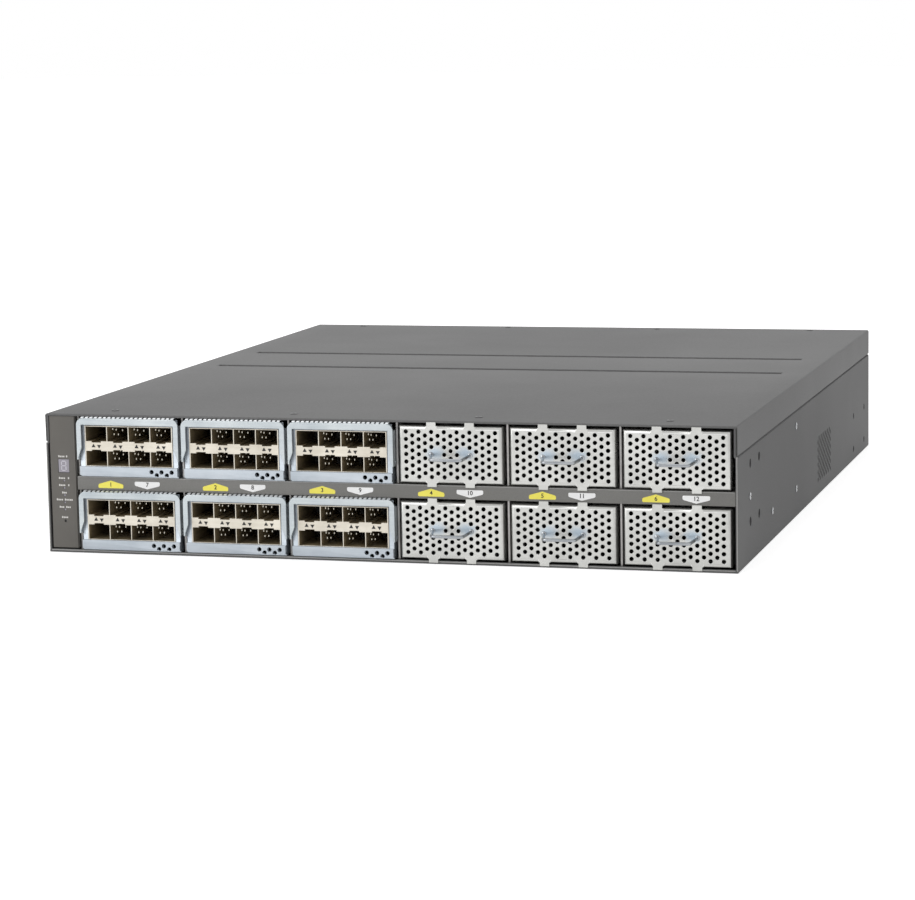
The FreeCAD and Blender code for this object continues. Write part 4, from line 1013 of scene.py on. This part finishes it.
# %% Bails with rounded edges
bail_steel = new_finish("bail_steel", rolled_steel, (200, 206, 208), (172, 180, 185), (0.3, 0.4),
                        0.002, edge=0, Stretch=(40, 900, 900), Cloud_Scale=40, Metallic=0.7)
bail = from_node("ejector_bail", "module_7_bail", -slot_origin(7))
round_off(bail, 0.3, 3)
modify(bail, "WEIGHTED_NORMAL", keep_sharp=True)
bail.data.materials.append(bail_steel)
fill_slots(bail, "ejector_bail", MODULE_SLOTS, "bail", "module_{}_bail")

# %% [markdown]
# ## Spring fingers
# Along the top of every module runs a comb of spring fingers that closes the gap to the case
# against radio noise. One finger is a thin strip, sliced across, lifted to an arch near its front
# and bent down behind: the list holds how far back each slice lies and how much it is lifted.
# An array makes the comb.

# %% Finger comb
FINGER_STEP, FINGER_WIDE, FINGER_COUNT = 3.0, 1.9, 21
FINGER_ARCH = ((-1.6, 0.4), (0, 0.52), (3, 0.52), (5.5, 0.35), (7.4, -0.3), (8.4, -0.6))
bail_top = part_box("module_7_bail")[1].z / MM
start = -FINGER_STEP * (FINGER_COUNT - 1) / 2
finger = add_box("spring_fingers", (start - FINGER_WIDE / 2, -2.2, bail_top + 0.05),
                 (start + FINGER_WIDE / 2, 8.4, bail_top + 0.22))
edit(finger)
slice_at("Y", [near for near, lift in FINGER_ARCH[:-1]])
for near, lift in FINGER_ARCH:
    pick("VERT", lambda place: abs(place.y - near) < TOUCH)
    bpy.ops.transform.translate(value=(0, 0, lift * MM))
deselect()
repeat(finger, FINGER_COUNT, (FINGER_STEP, 0, 0))
soften(finger, 50)
finger_steel = new_finish("finger_steel", rolled_steel, (240, 242, 244), (222, 226, 230),
                          (0.3, 0.42), 0.001, edge=0, Stretch=(900, 60, 900), Metallic=0.25)
finger.data.materials.append(finger_steel)
fill_slots(finger, "spring_fingers", MODULE_SLOTS, "module")
print(FINGER_COUNT, "fingers to a comb")

# %% [markdown]
# ## Slot labels
# Slot numbers stand on small coloured fields on the bar between the rows. A yellow field points
# up to slots 1 to 6, and a white one points down to slots 7 to 12. A plane is sliced down its
# middle, the middle of one side is moved out to the point, the corners are rounded, and the
# sheet is extruded by a tenth of a millimetre. The number is a text, turned into a mesh before
# its place is applied. The heights of a field are those of its flat side, shoulders and point.

# %% One label
LABEL_HALF, LABEL_FOIL = 8.35, 0.1
label_paint = {}
for name, light, worn in (("yellow", (252, 241, 104), (246, 234, 96)),
                          ("white", (252, 252, 252), (244, 244, 244))):
    label_paint[name] = new_finish(f"label_{name}", moulded_plastic, light, worn, (0.4, 0.55),
                                   0.002, edge=0)


def add_label(name, x, flat, shoulder, point, paint):
    """A field with one long flat side and a point opposite, on the bar's front face."""
    label = add_sheet(name, (x, FRONT / MM, (flat + shoulder) / 2), 2 * LABEL_HALF,
                      abs(flat - shoulder))
    edit(label)
    slice_at("X", [x])
    pick("VERT", lambda place: abs(place.x - x) < TOUCH and abs(place.z - shoulder) < TOUCH)
    bpy.ops.transform.translate(value=(0, 0, (point - shoulder) * MM))
    pick("VERT", lambda place: abs(abs(place.x - x) - LABEL_HALF) < TOUCH)
    bpy.ops.mesh.bevel(offset=0.75 * MM, segments=4, affect="VERTICES")
    bpy.ops.mesh.select_all(action="SELECT")
    pull_out(0, -LABEL_FOIL, 0)
    face_outwards()
    deselect()
    label.data.materials.append(paint)
    return label


def add_number(name, text, x, z, size, y):
    """A slot number standing upright, as a mesh."""
    deselect()
    bpy.ops.object.text_add(location=(0, 0, 0))
    words = bpy.context.object
    words.data.body = text
    words.data.size = size * MM
    words.data.align_x = "CENTER"
    words.data.align_y = "CENTER"
    words.data.extrude = 0.04 * MM
    words.data.offset = 0.06 * MM
    words.data.resolution_u = 3
    bpy.ops.object.convert(target="MESH")
    words = bpy.context.object
    words.rotation_euler = (math.pi / 2, 0, 0)
    words.location = (x * MM, y, z * MM)
    number = settle(name)
    edit(number)
    bpy.ops.mesh.remove_doubles(threshold=0.001 * MM)
    deselect()
    number.data.materials.append(print_black)
    return number


# %% Twelve labels
YELLOW_LABEL, WHITE_LABEL = (41.5, 43.9, 46.3), (46.0, 43.5, 41.3)
YELLOW_ASIDE, WHITE_ASIDE = -12.9, 11.5
NUMBER_SIZE, NUMBER_LOW, NUMBER_HIGH = 3.7, 43.6, 44.1
bar_low, bar_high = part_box("mid_bar")
for number in range(1, 13):
    origin = slot_origin(number)
    upper = number <= 6
    x = origin.x / MM + (YELLOW_ASIDE if upper else WHITE_ASIDE)
    heights = YELLOW_LABEL if upper else WHITE_LABEL
    label = add_label(f"label_{number}", x, *heights, label_paint["yellow" if upper else "white"])
    digits = add_number(f"number_{number}", str(number), x, NUMBER_LOW if upper else NUMBER_HIGH,
                        NUMBER_SIZE, FRONT - (LABEL_FOIL + 0.02) * MM)
    for piece, slot in ((label, "panel_plastic"), (digits, "black_plastic")):
        declare(piece, "chassis")
print("bar between z", round(bar_low.z / MM, 2), "and", round(bar_high.z / MM, 2))

# %% [markdown]
# ## Status strip
# The strip at the left carries the legends of its lamps. Their words are left out: each legend
# is a row of small pale blocks, printed a hair thick, as a line of small type looks from a step
# away. A block is a flat box whose corners are bevelled, and the blocks of one legend are joined.
# The four edges to bevel run through the block's thickness, so their middles lie halfway in it.

# %% Legends
strip_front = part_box("status_panel")[0].y / MM + 0.3
window_low, window_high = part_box("display_window")
STRIP_X = (window_low.x + window_high.x) / 2 / MM
legend_ink = new_finish("legend_ink", moulded_plastic, (222, 220, 216), (212, 210, 206),
                        (0.45, 0.6), 0.002, edge=0)
LEGENDS = ((60.9, (3.2, 1.3)), (47.1, (3.9, 0.8)), (42.6, (3.9, 0.8)), (37.9, (2.6,)),
           (33.4, (3.4, 4.4)), (28.7, (2.6, 2.4)), (22.2, (3.8,)))
LETTER, GAP, WORD_GAP, LETTER_TALL, WORD_SCALE = 0.85, 0.25, 1.2, 1.25, 1.25
INK_OUT, INK_IN = 0.04, 0.02


def word_blocks(height, words):
    """Blocks of one legend: each word is as many letter-wide blocks as fit its length."""
    total = sum(words) * WORD_SCALE + WORD_GAP * (len(words) - 1)
    x = STRIP_X - total / 2
    blocks = []
    for word in words:
        count = max(1, round(word * WORD_SCALE / (LETTER + GAP)))
        for index in range(count):
            low = x + index * (LETTER + GAP)
            tall = LETTER_TALL if index == 0 else LETTER_TALL * 0.8
            blocks.append(add_box("block", (low, strip_front - INK_OUT, height - LETTER_TALL / 2),
                                  (low + LETTER, strip_front + INK_IN,
                                   height - LETTER_TALL / 2 + tall)))
        x += word * WORD_SCALE + WORD_GAP
    return blocks


for index, (height, words) in enumerate(LEGENDS, start=1):
    legend = join(f"legend_{index}", word_blocks(height, words))
    edit(legend)
    pick("EDGE", lambda place: abs(place.y - strip_front + (INK_OUT - INK_IN) / 2) < TOUCH / 2)
    bpy.ops.mesh.bevel(offset=0.2 * MM, segments=2)
    deselect()
    legend.data.materials.append(legend_ink)
    declare(legend, "chassis")
print("legends on y", round(strip_front, 2))

# %% [markdown]
# ## Display digit
# Behind the smoked lens stands one seven-segment digit, unlit, so that all its segments show
# pale. A segment is a six-cornered bar: a plane is sliced near both ends and its end edges are
# scaled to points. Seven copies make the digit.

# %% Seven segments
DIGIT_HALF, SEGMENT, SEGMENT_SHARE = 1.45, 0.62, 0.88
digit_z = (window_low.z + window_high.z) / 2 / MM
digit_y = window_low.y / MM
segment_ink = new_finish("segment_ink", moulded_plastic, (206, 203, 212), (198, 195, 204),
                         (0.3, 0.4), 0.001, edge=0)


def add_segment(x, z, upright):
    """One bar of the digit, pointed at both ends."""
    tip = DIGIT_HALF * SEGMENT_SHARE
    bar = add_sheet("segment", (0, 0, 0), 2 * tip, SEGMENT)
    edit(bar)
    slice_at("X", [-tip + SEGMENT / 2, tip - SEGMENT / 2])
    for side in (-1, 1):
        pick("EDGE", lambda place: abs(place.x - side * tip) < TOUCH)
        bpy.ops.transform.resize(value=(1, 1, 0.05), center_override=(side * tip * MM, 0, 0))
    bpy.ops.mesh.select_all(action="SELECT")
    pull_out(0, -0.05, 0)
    face_outwards()
    deselect()
    bar.rotation_euler = (0, math.pi / 2 if upright else 0, 0)
    bar.location = (x * MM, digit_y * MM, z * MM)
    choose(bar)
    return settle("segment")


segments = [add_segment(STRIP_X, digit_z + step * 2 * DIGIT_HALF, False) for step in (-1, 0, 1)]
segments += [add_segment(STRIP_X + side * DIGIT_HALF, digit_z + step * DIGIT_HALF, True)
             for side in (-1, 1) for step in (-1, 1)]
digit = join("display_digit", segments)
digit.data.materials.append(segment_ink)
declare(digit, "chassis")
print("digit", round(4 * DIGIT_HALF + SEGMENT, 2), "mm tall")

# %% [markdown]
# ## Case screws
# The cover and the inner frames are held by low domed screws with a cross recess. One screw is
# turned from a rod: its top face is inset and raised in three steps for the dome, and two crossed
# boxes are cut out. The places of all screws are read from the frame's node: each loose part
# of its mesh is one screw. The cover's screws are painted with it; those of the sides stay bright.

# %% One screw
HEAD, HEAD_TALL, CROSS_LONG, CROSS_WIDE = 2.35, 0.68, 1.25, 0.24
DOME_STEPS = ((0.35, 0.22), (0.55, 0.08), (0.6, 0.03))
screw = add_rod("screw", (0, 0, HEAD_TALL * 0.25), HEAD, HEAD_TALL * 0.5, 28, "Z")
edit(screw)
pick("FACE", lambda place: place.z > HEAD_TALL * 0.49)
for inset, rise in DOME_STEPS:
    bpy.ops.mesh.inset(thickness=inset * MM)
    bpy.ops.transform.translate(value=(0, 0, rise * MM))
deselect()
for wide, deep in ((CROSS_LONG, CROSS_WIDE), (CROSS_WIDE, CROSS_LONG)):
    carve(screw, add_box("cross", (-wide, -deep, 0.25), (wide, deep, 1.5)))
soften(screw, 35)
print("screw:", len(screw.data.polygons), "faces")

# %% Screws in their places
node = NODES["case_screws"]
loose = bmesh.new()
loose.from_mesh(node.data)
bmesh.ops.remove_doubles(loose, verts=loose.verts, dist=0.002 * MM)
unseen = set(loose.verts)
screws, side_screws = [], []
while unseen:
    island, queue = set(), [unseen.pop()]
    while queue:
        corner = queue.pop()
        island.add(corner)
        for edge in corner.link_edges:
            other = edge.other_vert(corner)
            if other in unseen:
                unseen.discard(other)
                queue.append(other)
    points = [corner.co for corner in island]
    low = Vector(min(point[axis] for point in points) for axis in range(3))
    high = Vector(max(point[axis] for point in points) for axis in range(3))
    middle = (low + high) / 2
    spin = Matrix.Rotation(0.4 + 1.3 * len(screws + side_screws), 4, "Z")
    if high.z - low.z < 1 * MM:
        turn, foot = Matrix(), Vector((middle.x, middle.y, low.z))
    elif middle.x > 0:
        turn, foot = Matrix.Rotation(math.pi / 2, 4, "Y"), Vector((low.x, middle.y, middle.z))
    else:
        turn, foot = Matrix.Rotation(-math.pi / 2, 4, "Y"), Vector((high.x, middle.y, middle.z))
    twin = copy_to(screw, "screw", Vector())
    twin.data.transform(Matrix.Translation(foot) @ turn @ spin)
    (screws if high.z - low.z < 1 * MM else side_screws).append(twin)
loose.free()
bpy.data.objects.remove(screw)
painted_screw = new_finish("painted_screw", powder_coat, (98, 98, 98), (88, 88, 88), (0.32, 0.42),
                           0.004, edge=0, Peel_Scale=2500, Metallic=0.3)
plated_screw = new_finish("plated_screw", rolled_steel, (158, 160, 162), (130, 132, 135),
                          (0.2, 0.3), 0.001, edge=0, Stretch=(700, 700, 700), Metallic=0.9)
for name, group, paint in (("cover_screws", screws, painted_screw),
                           ("side_screws", side_screws, plated_screw)):
    piece = join(name, group)
    piece.data.materials.append(paint)
    declare(piece, "chassis", "case_screws")
print(len(screws), "cover screws and", len(side_screws), "side screws")

# %% [markdown]
# ## Side vent
# Air leaves through a field of fine round holes low in both side walls. The frame's tub has
# upright slots there. A window is cut out of a copy of the tub, and a plate with the real holes
# fills it flush, so that the wall looks unbroken round the field. Round holes for the rack ears
# and the rails are drilled, and a shallow groove under the cover's skirt keeps its lower edge a
# crisp dark line.

# %% Tub with a punched vent
VENT_LOW, VENT_TALL, VENT_FIRST, VENT_LONG = 8.0, 33.0, 297.5, 60.5
VENT_HOLE, VENT_STEP, VENT_ROW = 1.75, 9.0, 2.6
WALL = 1.2
wall_x = CASE_TOP.x / MM
front_mm = FRONT / MM
tub = from_node("folded_tub", "chassis_tub", Vector())
for side in (-1, 1):
    window = add_box("window", (side * wall_x - 3, front_mm + VENT_FIRST, VENT_LOW),
                     (side * wall_x + 3, front_mm + VENT_FIRST + VENT_LONG, VENT_LOW + VENT_TALL))
    carve(tub, window)
EAR_HOLE, RAIL_HOLE = 2.9, 2.3
EAR_PLACES = ((42, 24.5), (72, 24.5), (42, 60), (72, 60))
RAIL_PLACES = ((467, 8), (520, 8), (467, 32.5), (520, 32.5))
GROOVE_IN, GROOVE_TALL = 0.9, 0.6
for side in (-1, 1):
    drills = [add_rod("drill", (side * (wall_x - 0.6), front_mm + far, height), radius, 3, 24, "X")
              for places, radius in ((EAR_PLACES, EAR_HOLE), (RAIL_PLACES, RAIL_HOLE))
              for far, height in places]
    carve(tub, join("drills", drills))
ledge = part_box("top_cover")[0].z / MM
for side in (-1, 1):
    left, right = sorted((side * (wall_x - GROOVE_IN), side * (wall_x + 1)))
    carve(tub, add_box("groove", (left, front_mm + 1, ledge - GROOVE_TALL),
                       (right, CASE_TOP.y / MM - 1, ledge + 0.05)))
parts = [tub]
for side in (-1, 1):
    left, right = sorted((side * wall_x, side * (wall_x - WALL)))
    plate = add_box("vent_plate", (left, front_mm + VENT_FIRST, VENT_LOW),
                    (right, front_mm + VENT_FIRST + VENT_LONG, VENT_LOW + VENT_TALL))
    rows = int((VENT_TALL - 3) / VENT_ROW) + 1
    columns = int((VENT_LONG - 4) / VENT_STEP) + 1
    low = VENT_LOW + (VENT_TALL - VENT_ROW * (rows - 1)) / 2
    rods = []
    for shift, first in ((0, 0), (0.5, 1)):
        count = (rows - first + 1) // 2
        across = columns - first
        begin = front_mm + VENT_FIRST + (VENT_LONG - VENT_STEP * (columns - 1)) / 2
        rod = add_rod("rod", (side * (wall_x - WALL / 2), begin + shift * VENT_STEP,
                              low + first * VENT_ROW), VENT_HOLE, 3 * WALL, 10, "X")
        repeat(rod, across, (0, VENT_STEP, 0))
        repeat(rod, count, (0, 0, 2 * VENT_ROW))
        rods.append(rod)
    carve(plate, join("rods", rods))
    parts.append(plate)
tub = join("folded_tub", parts)
soften(tub, 30)
tub.data.materials.clear()
tub.data.materials.append(case_paint)
declare(tub, "chassis", "chassis_tub")
print("vent field", columns, "by", rows, "half rows;", len(tub.data.polygons), "faces")

# %% [markdown]
# ## Lines that catch the light
# A folded edge shows as a fine bright line, because its paint is rounded there. The bar between
# the rows is a copy of its node with real rounded edges, and a thin box lies along its upper one.
# Boxes with rounded edges also make the hem along the foot of the front, the raised bead where
# the status strip meets the modules, and both front corners of the tub. The thin box, the hem and
# the corners are painted a lighter grey than the case: painted highlights for the light on those
# edges.

# %% Bar, hem and bead
bar = from_node("middle_bar", "mid_bar", Vector())
round_off(bar, 0.45, 3)
edge_line = add_box("bar_edge", (bar_low.x / MM + 0.5, front_mm - 0.06, bar_high.z / MM - 0.5),
                    (bar_high.x / MM - 0.5, front_mm + 0.4, bar_high.z / MM - 0.02))
bar_paint = new_finish("bar_paint", powder_coat, (125, 124, 121), (115, 114, 111), (0.5, 0.6),
                       0.006, edge=0, Peel_Scale=1500)
bar.data.materials.append(bar_paint)
declare(bar, "chassis", "mid_bar")
# Painted highlight: a lighter grey than the case paint, for the bright lines along the bar's top edge,
# the front hem and the tub's front corners.
edge_highlight_paint = new_finish("edge_highlight_paint", powder_coat, (168, 168, 166), (158, 158, 156), (0.4, 0.5),
                       0.006, edge=0, Peel_Scale=1500)
CORNER_WIDE, CORNER_LOW, CORNER_HIGH = 0.7, 1.2, 69.6
HEM_LOW, HEM_HIGH, HEM_OUT = 1.0, 1.7, 0.35
BEAD_LEFT, BEAD_RIGHT, BEAD_LOW, BEAD_HIGH = -201.4, -200.5, 2.9, 86.2
corners = []
for side in (-1, 1):
    left, right = sorted((side * wall_x, side * (wall_x - CORNER_WIDE)))
    corners.append(add_box("corner_edge", (left, front_mm - 0.15, CORNER_LOW),
                           (right, front_mm + 0.6, CORNER_HIGH)))
hem = add_box("front_hem", (-wall_x + 1.5, front_mm - HEM_OUT, HEM_LOW),
              (wall_x - 1.5, front_mm + 0.4, HEM_HIGH))
bead = add_box("strip_bead", (BEAD_LEFT, front_mm - 0.3, BEAD_LOW),
               (BEAD_RIGHT, front_mm + 0.6, BEAD_HIGH))
corners = join("corner_edges", corners)
for piece, paint in ((hem, edge_highlight_paint), (corners, edge_highlight_paint), (bead, strip_plastic),
                     (edge_line, edge_highlight_paint)):
    round_off(piece, 0.2, 2)
    piece.data.materials.append(paint)
    declare(piece, "chassis")
print("edges rounded")

# %% [markdown]
# ## Cover
# The cover is one folded sheet: flat on top, with a skirt down each side, a narrow hem at the
# front, and two long grooves pressed in so that it doesn't drum. The flat sheet is sliced along
# the grooves, their faces are pushed down, the skirts and the hem are extruded from its edges,
# every fold is bevelled, and Solidify gives the thickness. The skirt ends a little above the
# groove in the tub, and both together are the dark line round the case.

# %% Pressed cover
cover_low, cover_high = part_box("top_cover")
COVER_SHEET, SKIRT_GAP, COVER_HEM, COVER_FOLD = 0.8, 0.4, 1.4, 0.8
GROOVE_FAR, GROOVE_HALF, GROOVE_DEEP, GROOVE_MARGIN = (264, 346), 4.2, 2.4, 18.5
skin = COVER_SHEET / 2
cover_half = cover_high.x / MM - skin
cover_front, cover_back = cover_low.y / MM + skin, cover_high.y / MM
cover_top = cover_high.z / MM - skin
groove_x = cover_high.x / MM - GROOVE_MARGIN
cover = add_sheet("pressed_cover", (0, (cover_front + cover_back) / 2, cover_top),
                  2 * cover_half, cover_back - cover_front, upright=False)
edit(cover)
lines = [front_mm + far + side * GROOVE_HALF for far in GROOVE_FAR for side in (-1, 1)]
slice_at("Y", lines)
slice_at("X", [-groove_x, groove_x])
pick("FACE", lambda place: abs(place.x) < groove_x
     and any(abs(place.y - front_mm - far) < GROOVE_HALF for far in GROOVE_FAR))
pull_out(0, 0, -GROOVE_DEEP)
pick("EDGE", lambda place: abs(place.z - cover_top) < TOUCH
     and ((abs(abs(place.x) - groove_x) < TOUCH
           and any(abs(place.y - front_mm - far) < GROOVE_HALF for far in GROOVE_FAR))
          or (abs(place.x) < groove_x and any(abs(place.y - line) < TOUCH for line in lines))))
bpy.ops.mesh.bevel(offset=0.3 * MM, segments=2)
pick("EDGE", lambda place: abs(abs(place.x) - cover_half) < TOUCH)
pull_out(0, 0, -(cover_top - cover_low.z / MM - SKIRT_GAP))
pick("EDGE", lambda place: abs(place.y - cover_front) < TOUCH
     and abs(place.z - cover_top) < TOUCH and abs(place.x) < cover_half - TOUCH)
pull_out(0, 0, -(COVER_HEM - skin))
pick("EDGE", lambda place: abs(place.z - cover_top) < TOUCH
     and (abs(abs(place.x) - cover_half) < TOUCH
          or (abs(place.y - cover_front) < TOUCH and abs(place.x) < cover_half - TOUCH)))
bpy.ops.mesh.bevel(offset=COVER_FOLD * MM, segments=3)
face_outwards()
deselect()
largest = max(cover.data.polygons, key=lambda polygon: polygon.area)
if largest.normal.z < 0:
    cover.data.flip_normals()
modify(cover, "SOLIDIFY", thickness=COVER_SHEET * MM, offset=0, use_even_offset=True)
soften(cover, 35)
cover.data.materials.append(cover_paint)
declare(cover, "chassis", "top_cover")
print("cover:", len(cover.data.polygons), "faces")

# %% [markdown]
# ## Floor, light and camera
# The set is a plain white floor under an even white sky, as in a catalogue. The sky lights the
# object softly, a large lamp above gives the cover its brighter tone, and a smaller one at the
# left front draws the edges. Floor and sky are brighter to a ray that looks at them than as
# light, so the background stays white while the object isn't washed out. The camera stands to
# the right of the front and a little above it.

# %% Floor and sky
FLOOR_GLOW, SKY_LIGHT = 0.6, 0.62


def looked_at(tree):
    """1 for rays that look at a surface straight, in a mirror or through glass, otherwise 0."""
    rays = add_node(tree, "ShaderNodeLightPath").outputs
    seen = calculate(tree, "MAXIMUM", rays["Is Camera Ray"], rays["Is Glossy Ray"])
    return calculate(tree, "MAXIMUM", seen, rays["Is Transmission Ray"])


deselect()
bpy.ops.mesh.primitive_plane_add(size=30, location=(0, 0, CAD_BOX[0][2] - 0.0002))
floor = settle("studio_floor")
floor_white = bpy.data.materials.new("floor_white")
floor_white.use_nodes = True
tree = floor_white.node_tree
shader = tree.nodes["Principled BSDF"]
shader.inputs["Base Color"].default_value = (0.82, 0.82, 0.82, 1)
shader.inputs["Roughness"].default_value = 0.9
glow = calculate(tree, "MULTIPLY", looked_at(tree), FLOOR_GLOW)
shader.inputs["Emission Color"].default_value = (1, 1, 1, 1)
tree.links.new(glow, shader.inputs["Emission Strength"])
floor.data.materials.append(floor_white)

sky = bpy.data.worlds.new("studio_sky")
bpy.context.scene.world = sky
sky.use_nodes = True
tree = sky.node_tree
background = tree.nodes["Background"]
background.inputs["Color"].default_value = (1, 1, 1, 1)
strength = spread(tree, looked_at(tree), 0, 1, SKY_LIGHT, 1.0)
tree.links.new(strength, background.inputs["Strength"])
print("stage set")

# %% Lamps


def add_lamp(name, place, aim, size, power):
    """A square soft lamp that looks at a point."""
    light = bpy.data.lights.new(name, "AREA")
    light.shape = "SQUARE"
    light.size = size
    light.energy = power
    lamp = bpy.data.objects.new(name, light)
    bpy.context.scene.collection.objects.link(lamp)
    lamp.location = place
    lamp.rotation_euler = (Vector(aim) - Vector(place)).to_track_quat("-Z", "Y").to_euler()
    return lamp


add_lamp("overhead_lamp", (-0.2, 0.7, 2.2), (0, 0.1, 0), 2.0, 14)
add_lamp("front_lamp", (-1.4, -1.8, 1.0), (0, -0.2, 0.05), 1.4, 16)
print("lamps hung")

# %% Camera
camera_data = bpy.data.cameras.new("camera")
camera_data.sensor_width = 36
camera_data.lens = 118.933
camera_data.clip_start = 0.05
camera = bpy.data.objects.new("camera", camera_data)
bpy.context.scene.collection.objects.link(camera)
bpy.context.scene.camera = camera
RIGHTWARD = Vector((0.962319, 0.271277, -0.018569))
UPWARD = Vector((-0.020895, 0.141851, 0.989663))
FORWARD = Vector((-0.271113, 0.951992, -0.142181))
turn = Matrix((RIGHTWARD, UPWARD, -FORWARD)).transposed()
camera.rotation_euler = turn.to_euler()
camera.location = (0.5439, -2.0114, 0.3301)
bpy.context.scene.view_settings.view_transform = "Standard"
print("camera at", tuple(camera.location))
